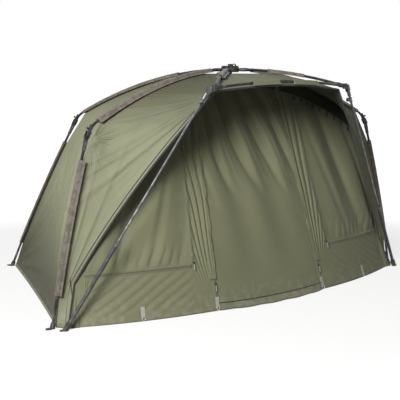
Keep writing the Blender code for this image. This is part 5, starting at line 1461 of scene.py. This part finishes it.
def build_webbing():
    """Peg tabs with their rings, the hub's loop and its hanging strap."""
    build_peg_tabs()
    low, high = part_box("hub_loop")
    centre, thick = (low + high) / 2, HUB_LOOP_PROFILE[5][1]
    half, rise = (high.y - low.y) / 2 - thick, high.z - low.z - thick
    arc = []
    for step in range(25):
        turn = math.pi * step / 24
        arc.append(Vector((centre.x, centre.y + half * math.cos(turn), low.z + rise * math.sin(turn))))
    band("hub_handle", arc, HUB_LOOP_PROFILE, side=X_AXIS, stands_for="hub_loop", folds=False)
    low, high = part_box("hub_strap")
    line = []
    for step in range(17):
        share = step / 16
        sway = 0.0010 * math.sin(math.tau * share)
        line.append(Vector(((low.x + high.x) / 2, (low.y + high.y) / 2 + sway, mix(low.z, high.z, share))))
    band("hub_tie", line, HUB_STRAP_PROFILE, side=X_AXIS, stands_for="hub_strap", folds=False)


def build_sliders():
    """Zip sliders with a cord pull, in place of the plain ones."""
    for kind, place in (("door", DOOR_SHARE), ("window", WINDOW_SHARE)):
        for side, sign in SIDES.items():
            tag, share = f"{kind}_{side}", place * sign
            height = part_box(f"zip_slider_{tag}")[1].z - RUNNER_DROP
            home = Matrix.Translation(Vector(panel_surface(share, height, RUNNER_LIFT))) @ panel_turn(share, height)
            runner = cut_box(f"zip_runner_{tag}", RUNNER_SIZE, 0, 2)
            for vertex in runner.data.vertices:
                if vertex.co.z < RUNNER_WAIST:
                    vertex.co.x *= RUNNER_TAPER
            round_edges(runner, 0.0008)
            settle(runner, home)
            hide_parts(f"zip_slider_{tag}")
            dress(runner, "moulding", f"slider_{tag}")
            pull = [home @ (Vector(PULL_START) - Z_AXIS * (PULL_LENGTH * step / 12)) for step in range(13)]
            band(f"zip_pull_{tag}", pull, PULL_PROFILE, "pale", f"slider_{tag}", X_AXIS)


def finish_frame():
    """Materials for the tubes and mouldings of the frame."""
    kinds = {
        "hub_": "moulding", "brow_corner": "moulding", "brow_joint": "moulding", "brow_": "tube", "rib_": "tube",
        "leg_": "tube", "foot_": "moulding", "lock_button": "moulding", "pole_rod": "pole", "pole_tube": "pole_dark",
        "pole_foot": "moulding", "pole_knob": "moulding",
    }
    for name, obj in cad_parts.items():
        look = next((look for start, look in kinds.items() if name.startswith(start)), None)
        if look:
            obj.data.materials.clear()
            obj.data.materials.append(LOOKS[look])


# The stage


FLOOR_GREY, FLOOR_NEAR, FLOOR_FAR, NEAR_WHITE = (0.22, 0.22, 0.215, 1), 1.9, 3.4, 0.75
KEY_PLACE, KEY_SIZE = (-5.5, -3.8, 3.5), 2.2
FILL_PLACE, FILL_SIZE = (4.6, -3.6, 2.8), 3.0


def seen_rays(tree):
    """One on the rays that show a surface to the camera, straight or by way of gloss or glass."""
    path = node(tree, "ShaderNodeLightPath").outputs
    seen = maths(tree, "MAXIMUM", path["Is Camera Ray"], path["Is Glossy Ray"])
    return maths(tree, "MAXIMUM", seen, path["Is Transmission Ray"])


def build_floor():
    """A floor that is grey to the light, and that the camera sees as white, less so near the tent."""
    bpy.ops.object.select_all(action="DESELECT")
    bpy.ops.mesh.primitive_plane_add(size=60, location=(0, 0, -0.0005))
    floor = bpy.context.object
    floor.name = "floor"
    made, tree, shader = new_material("white floor")
    feed(tree, shader, {"Base Color": FLOOR_GREY, "Roughness": 0.9, "Specular IOR Level": 0.1})
    seen = seen_rays(tree)
    away = node(tree, "ShaderNodeVectorMath", {0: object_place(tree)}, operation="LENGTH").outputs["Value"]
    bright = plus(tree, times(tree, ramp(tree, away, FLOOR_NEAR, FLOOR_FAR), 1 - NEAR_WHITE), NEAR_WHITE)
    glow = node(tree, "ShaderNodeEmission", {"Color": (1, 1, 1, 1), "Strength": times(tree, seen, bright)})
    total = node(tree, "ShaderNodeAddShader", {0: shader.outputs[0], 1: glow.outputs[0]})
    tree.links.new(total.outputs[0], tree.nodes["Material Output"].inputs["Surface"])
    floor.data.materials.append(made)


def build_sky(strength):
    """Even light all round, seen as white."""
    world = bpy.data.worlds.new("studio")
    bpy.context.scene.world = world
    world.use_nodes = True
    tree = world.node_tree
    level = plus(tree, times(tree, seen_rays(tree), 1.0 - strength), strength)
    feed(tree, tree.nodes["Background"], {"Strength": level, "Color": (1, 1, 1, 1)})


def build_stage():
    settings = bpy.context.scene.tent_stage
    build_floor()
    build_sky(settings.sky)
    target = Vector(settings.target)
    for name, spot, size, power in (
        ("key", KEY_PLACE, KEY_SIZE, settings.key_power),
        ("fill", FILL_PLACE, FILL_SIZE, settings.fill_power),
    ):
        bpy.ops.object.light_add(type="AREA", location=spot)
        lamp = bpy.context.object
        lamp.name = name
        lamp.data.energy, lamp.data.size = power, size
        lamp.rotation_euler = (target - Vector(spot)).to_track_quat("-Z", "Y").to_euler()
    turn, rise = settings.azimuth, settings.elevation
    back = Vector((math.sin(turn) * math.cos(rise), -math.cos(turn) * math.cos(rise), math.sin(rise)))
    bpy.ops.object.camera_add(location=target + back * settings.distance)
    camera = bpy.context.object
    camera.rotation_euler = (-back).to_track_quat("-Z", "Y").to_euler()
    camera.data.lens, camera.data.sensor_width = settings.lens, 36
    bpy.context.scene.camera = camera
    bpy.context.scene.view_settings.view_transform = "Standard"


class TENT_OT_stage(bpy.types.Operator):
    """Adds the floor, the lights and the camera"""

    bl_idname = "tent.stage"
    bl_label = "Stage"

    def execute(self, context):
        build_stage()
        return {"FINISHED"}


class TENT_OT_frame(bpy.types.Operator):
    """Gives the tubes and mouldings of the frame their finishes"""

    bl_idname = "tent.frame"
    bl_label = "Frame finishes"

    def execute(self, context):
        build_looks()
        finish_frame()
        return {"FINISHED"}


class TENT_OT_canopy(bpy.types.Operator):
    """Makes the canopy, its hem and the binding of its free edges"""

    bl_idname = "tent.canopy"
    bl_label = "Canopy"

    def execute(self, context):
        build_canopy()
        build_edge_binding()
        return {"FINISHED"}


class TENT_OT_front(bpy.types.Operator):
    """Makes the door, the infills and the near-black band of painted shade above them"""

    bl_idname = "tent.front"
    bl_label = "Front panel"

    def execute(self, context):
        build_front()
        build_gussets()
        build_shade_band()
        return {"FINISHED"}


class TENT_OT_zips(bpy.types.Operator):
    """Makes the zips, their flaps and their sliders"""

    bl_idname = "tent.zips"
    bl_label = "Zips"

    def execute(self, context):
        build_zips()
        build_sliders()
        return {"FINISHED"}


class TENT_OT_hems(bpy.types.Operator):
    """Makes the door's piping and the ground cloth"""

    bl_idname = "tent.hems"
    bl_label = "Hems"

    def execute(self, context):
        build_hems()
        return {"FINISHED"}


class TENT_OT_sleeves(bpy.types.Operator):
    """Makes the sleeves on the ribs, legs and brow bar"""

    bl_idname = "tent.sleeves"
    bl_label = "Sleeves"

    def execute(self, context):
        build_sleeves()
        return {"FINISHED"}


class TENT_OT_webbing(bpy.types.Operator):
    """Makes the peg tabs and the hub's webbing"""

    bl_idname = "tent.webbing"
    bl_label = "Webbing"

    def execute(self, context):
        build_webbing()
        return {"FINISHED"}


STEPS = (
    TENT_OT_stage, TENT_OT_frame, TENT_OT_canopy, TENT_OT_front, TENT_OT_zips, TENT_OT_hems, TENT_OT_sleeves,
    TENT_OT_webbing,
)


class TENT_PT_steps(bpy.types.Panel):
    """Lists the steps that dress the tent"""

    bl_label = "Bivvy tent"
    bl_idname = "TENT_PT_steps"
    bl_space_type = "VIEW_3D"
    bl_region_type = "UI"
    bl_category = "Bivvy tent"

    def draw(self, context):
        for step in STEPS:
            self.layout.operator(step.bl_idname)
        for group in ("tent_sizes", "tent_colours", "tent_stage"):
            settings = getattr(context.scene, group)
            for name in settings.bl_rna.properties.keys():
                if name not in ("rna_type", "name"):
                    self.layout.prop(settings, name)


GROUPS = {"tent_sizes": TentSizes, "tent_colours": TentColours, "tent_stage": StageSettings}


def register():
    for made in (*GROUPS.values(), *STEPS, TENT_PT_steps):
        bpy.utils.register_class(made)
    for name, kind in GROUPS.items():
        setattr(bpy.types.Scene, name, PointerProperty(type=kind))


def unregister():
    for name in GROUPS:
        delattr(bpy.types.Scene, name)
    for made in reversed((*GROUPS.values(), *STEPS, TENT_PT_steps)):
        bpy.utils.unregister_class(made)


def main():
    register()
    bpy.ops.tent.stage()
    bpy.ops.tent.frame()
    bpy.ops.tent.canopy()
    bpy.ops.tent.front()
    bpy.ops.tent.zips()
    bpy.ops.tent.hems()
    bpy.ops.tent.sleeves()
    bpy.ops.tent.webbing()


if __name__ == "__main__":
    main()
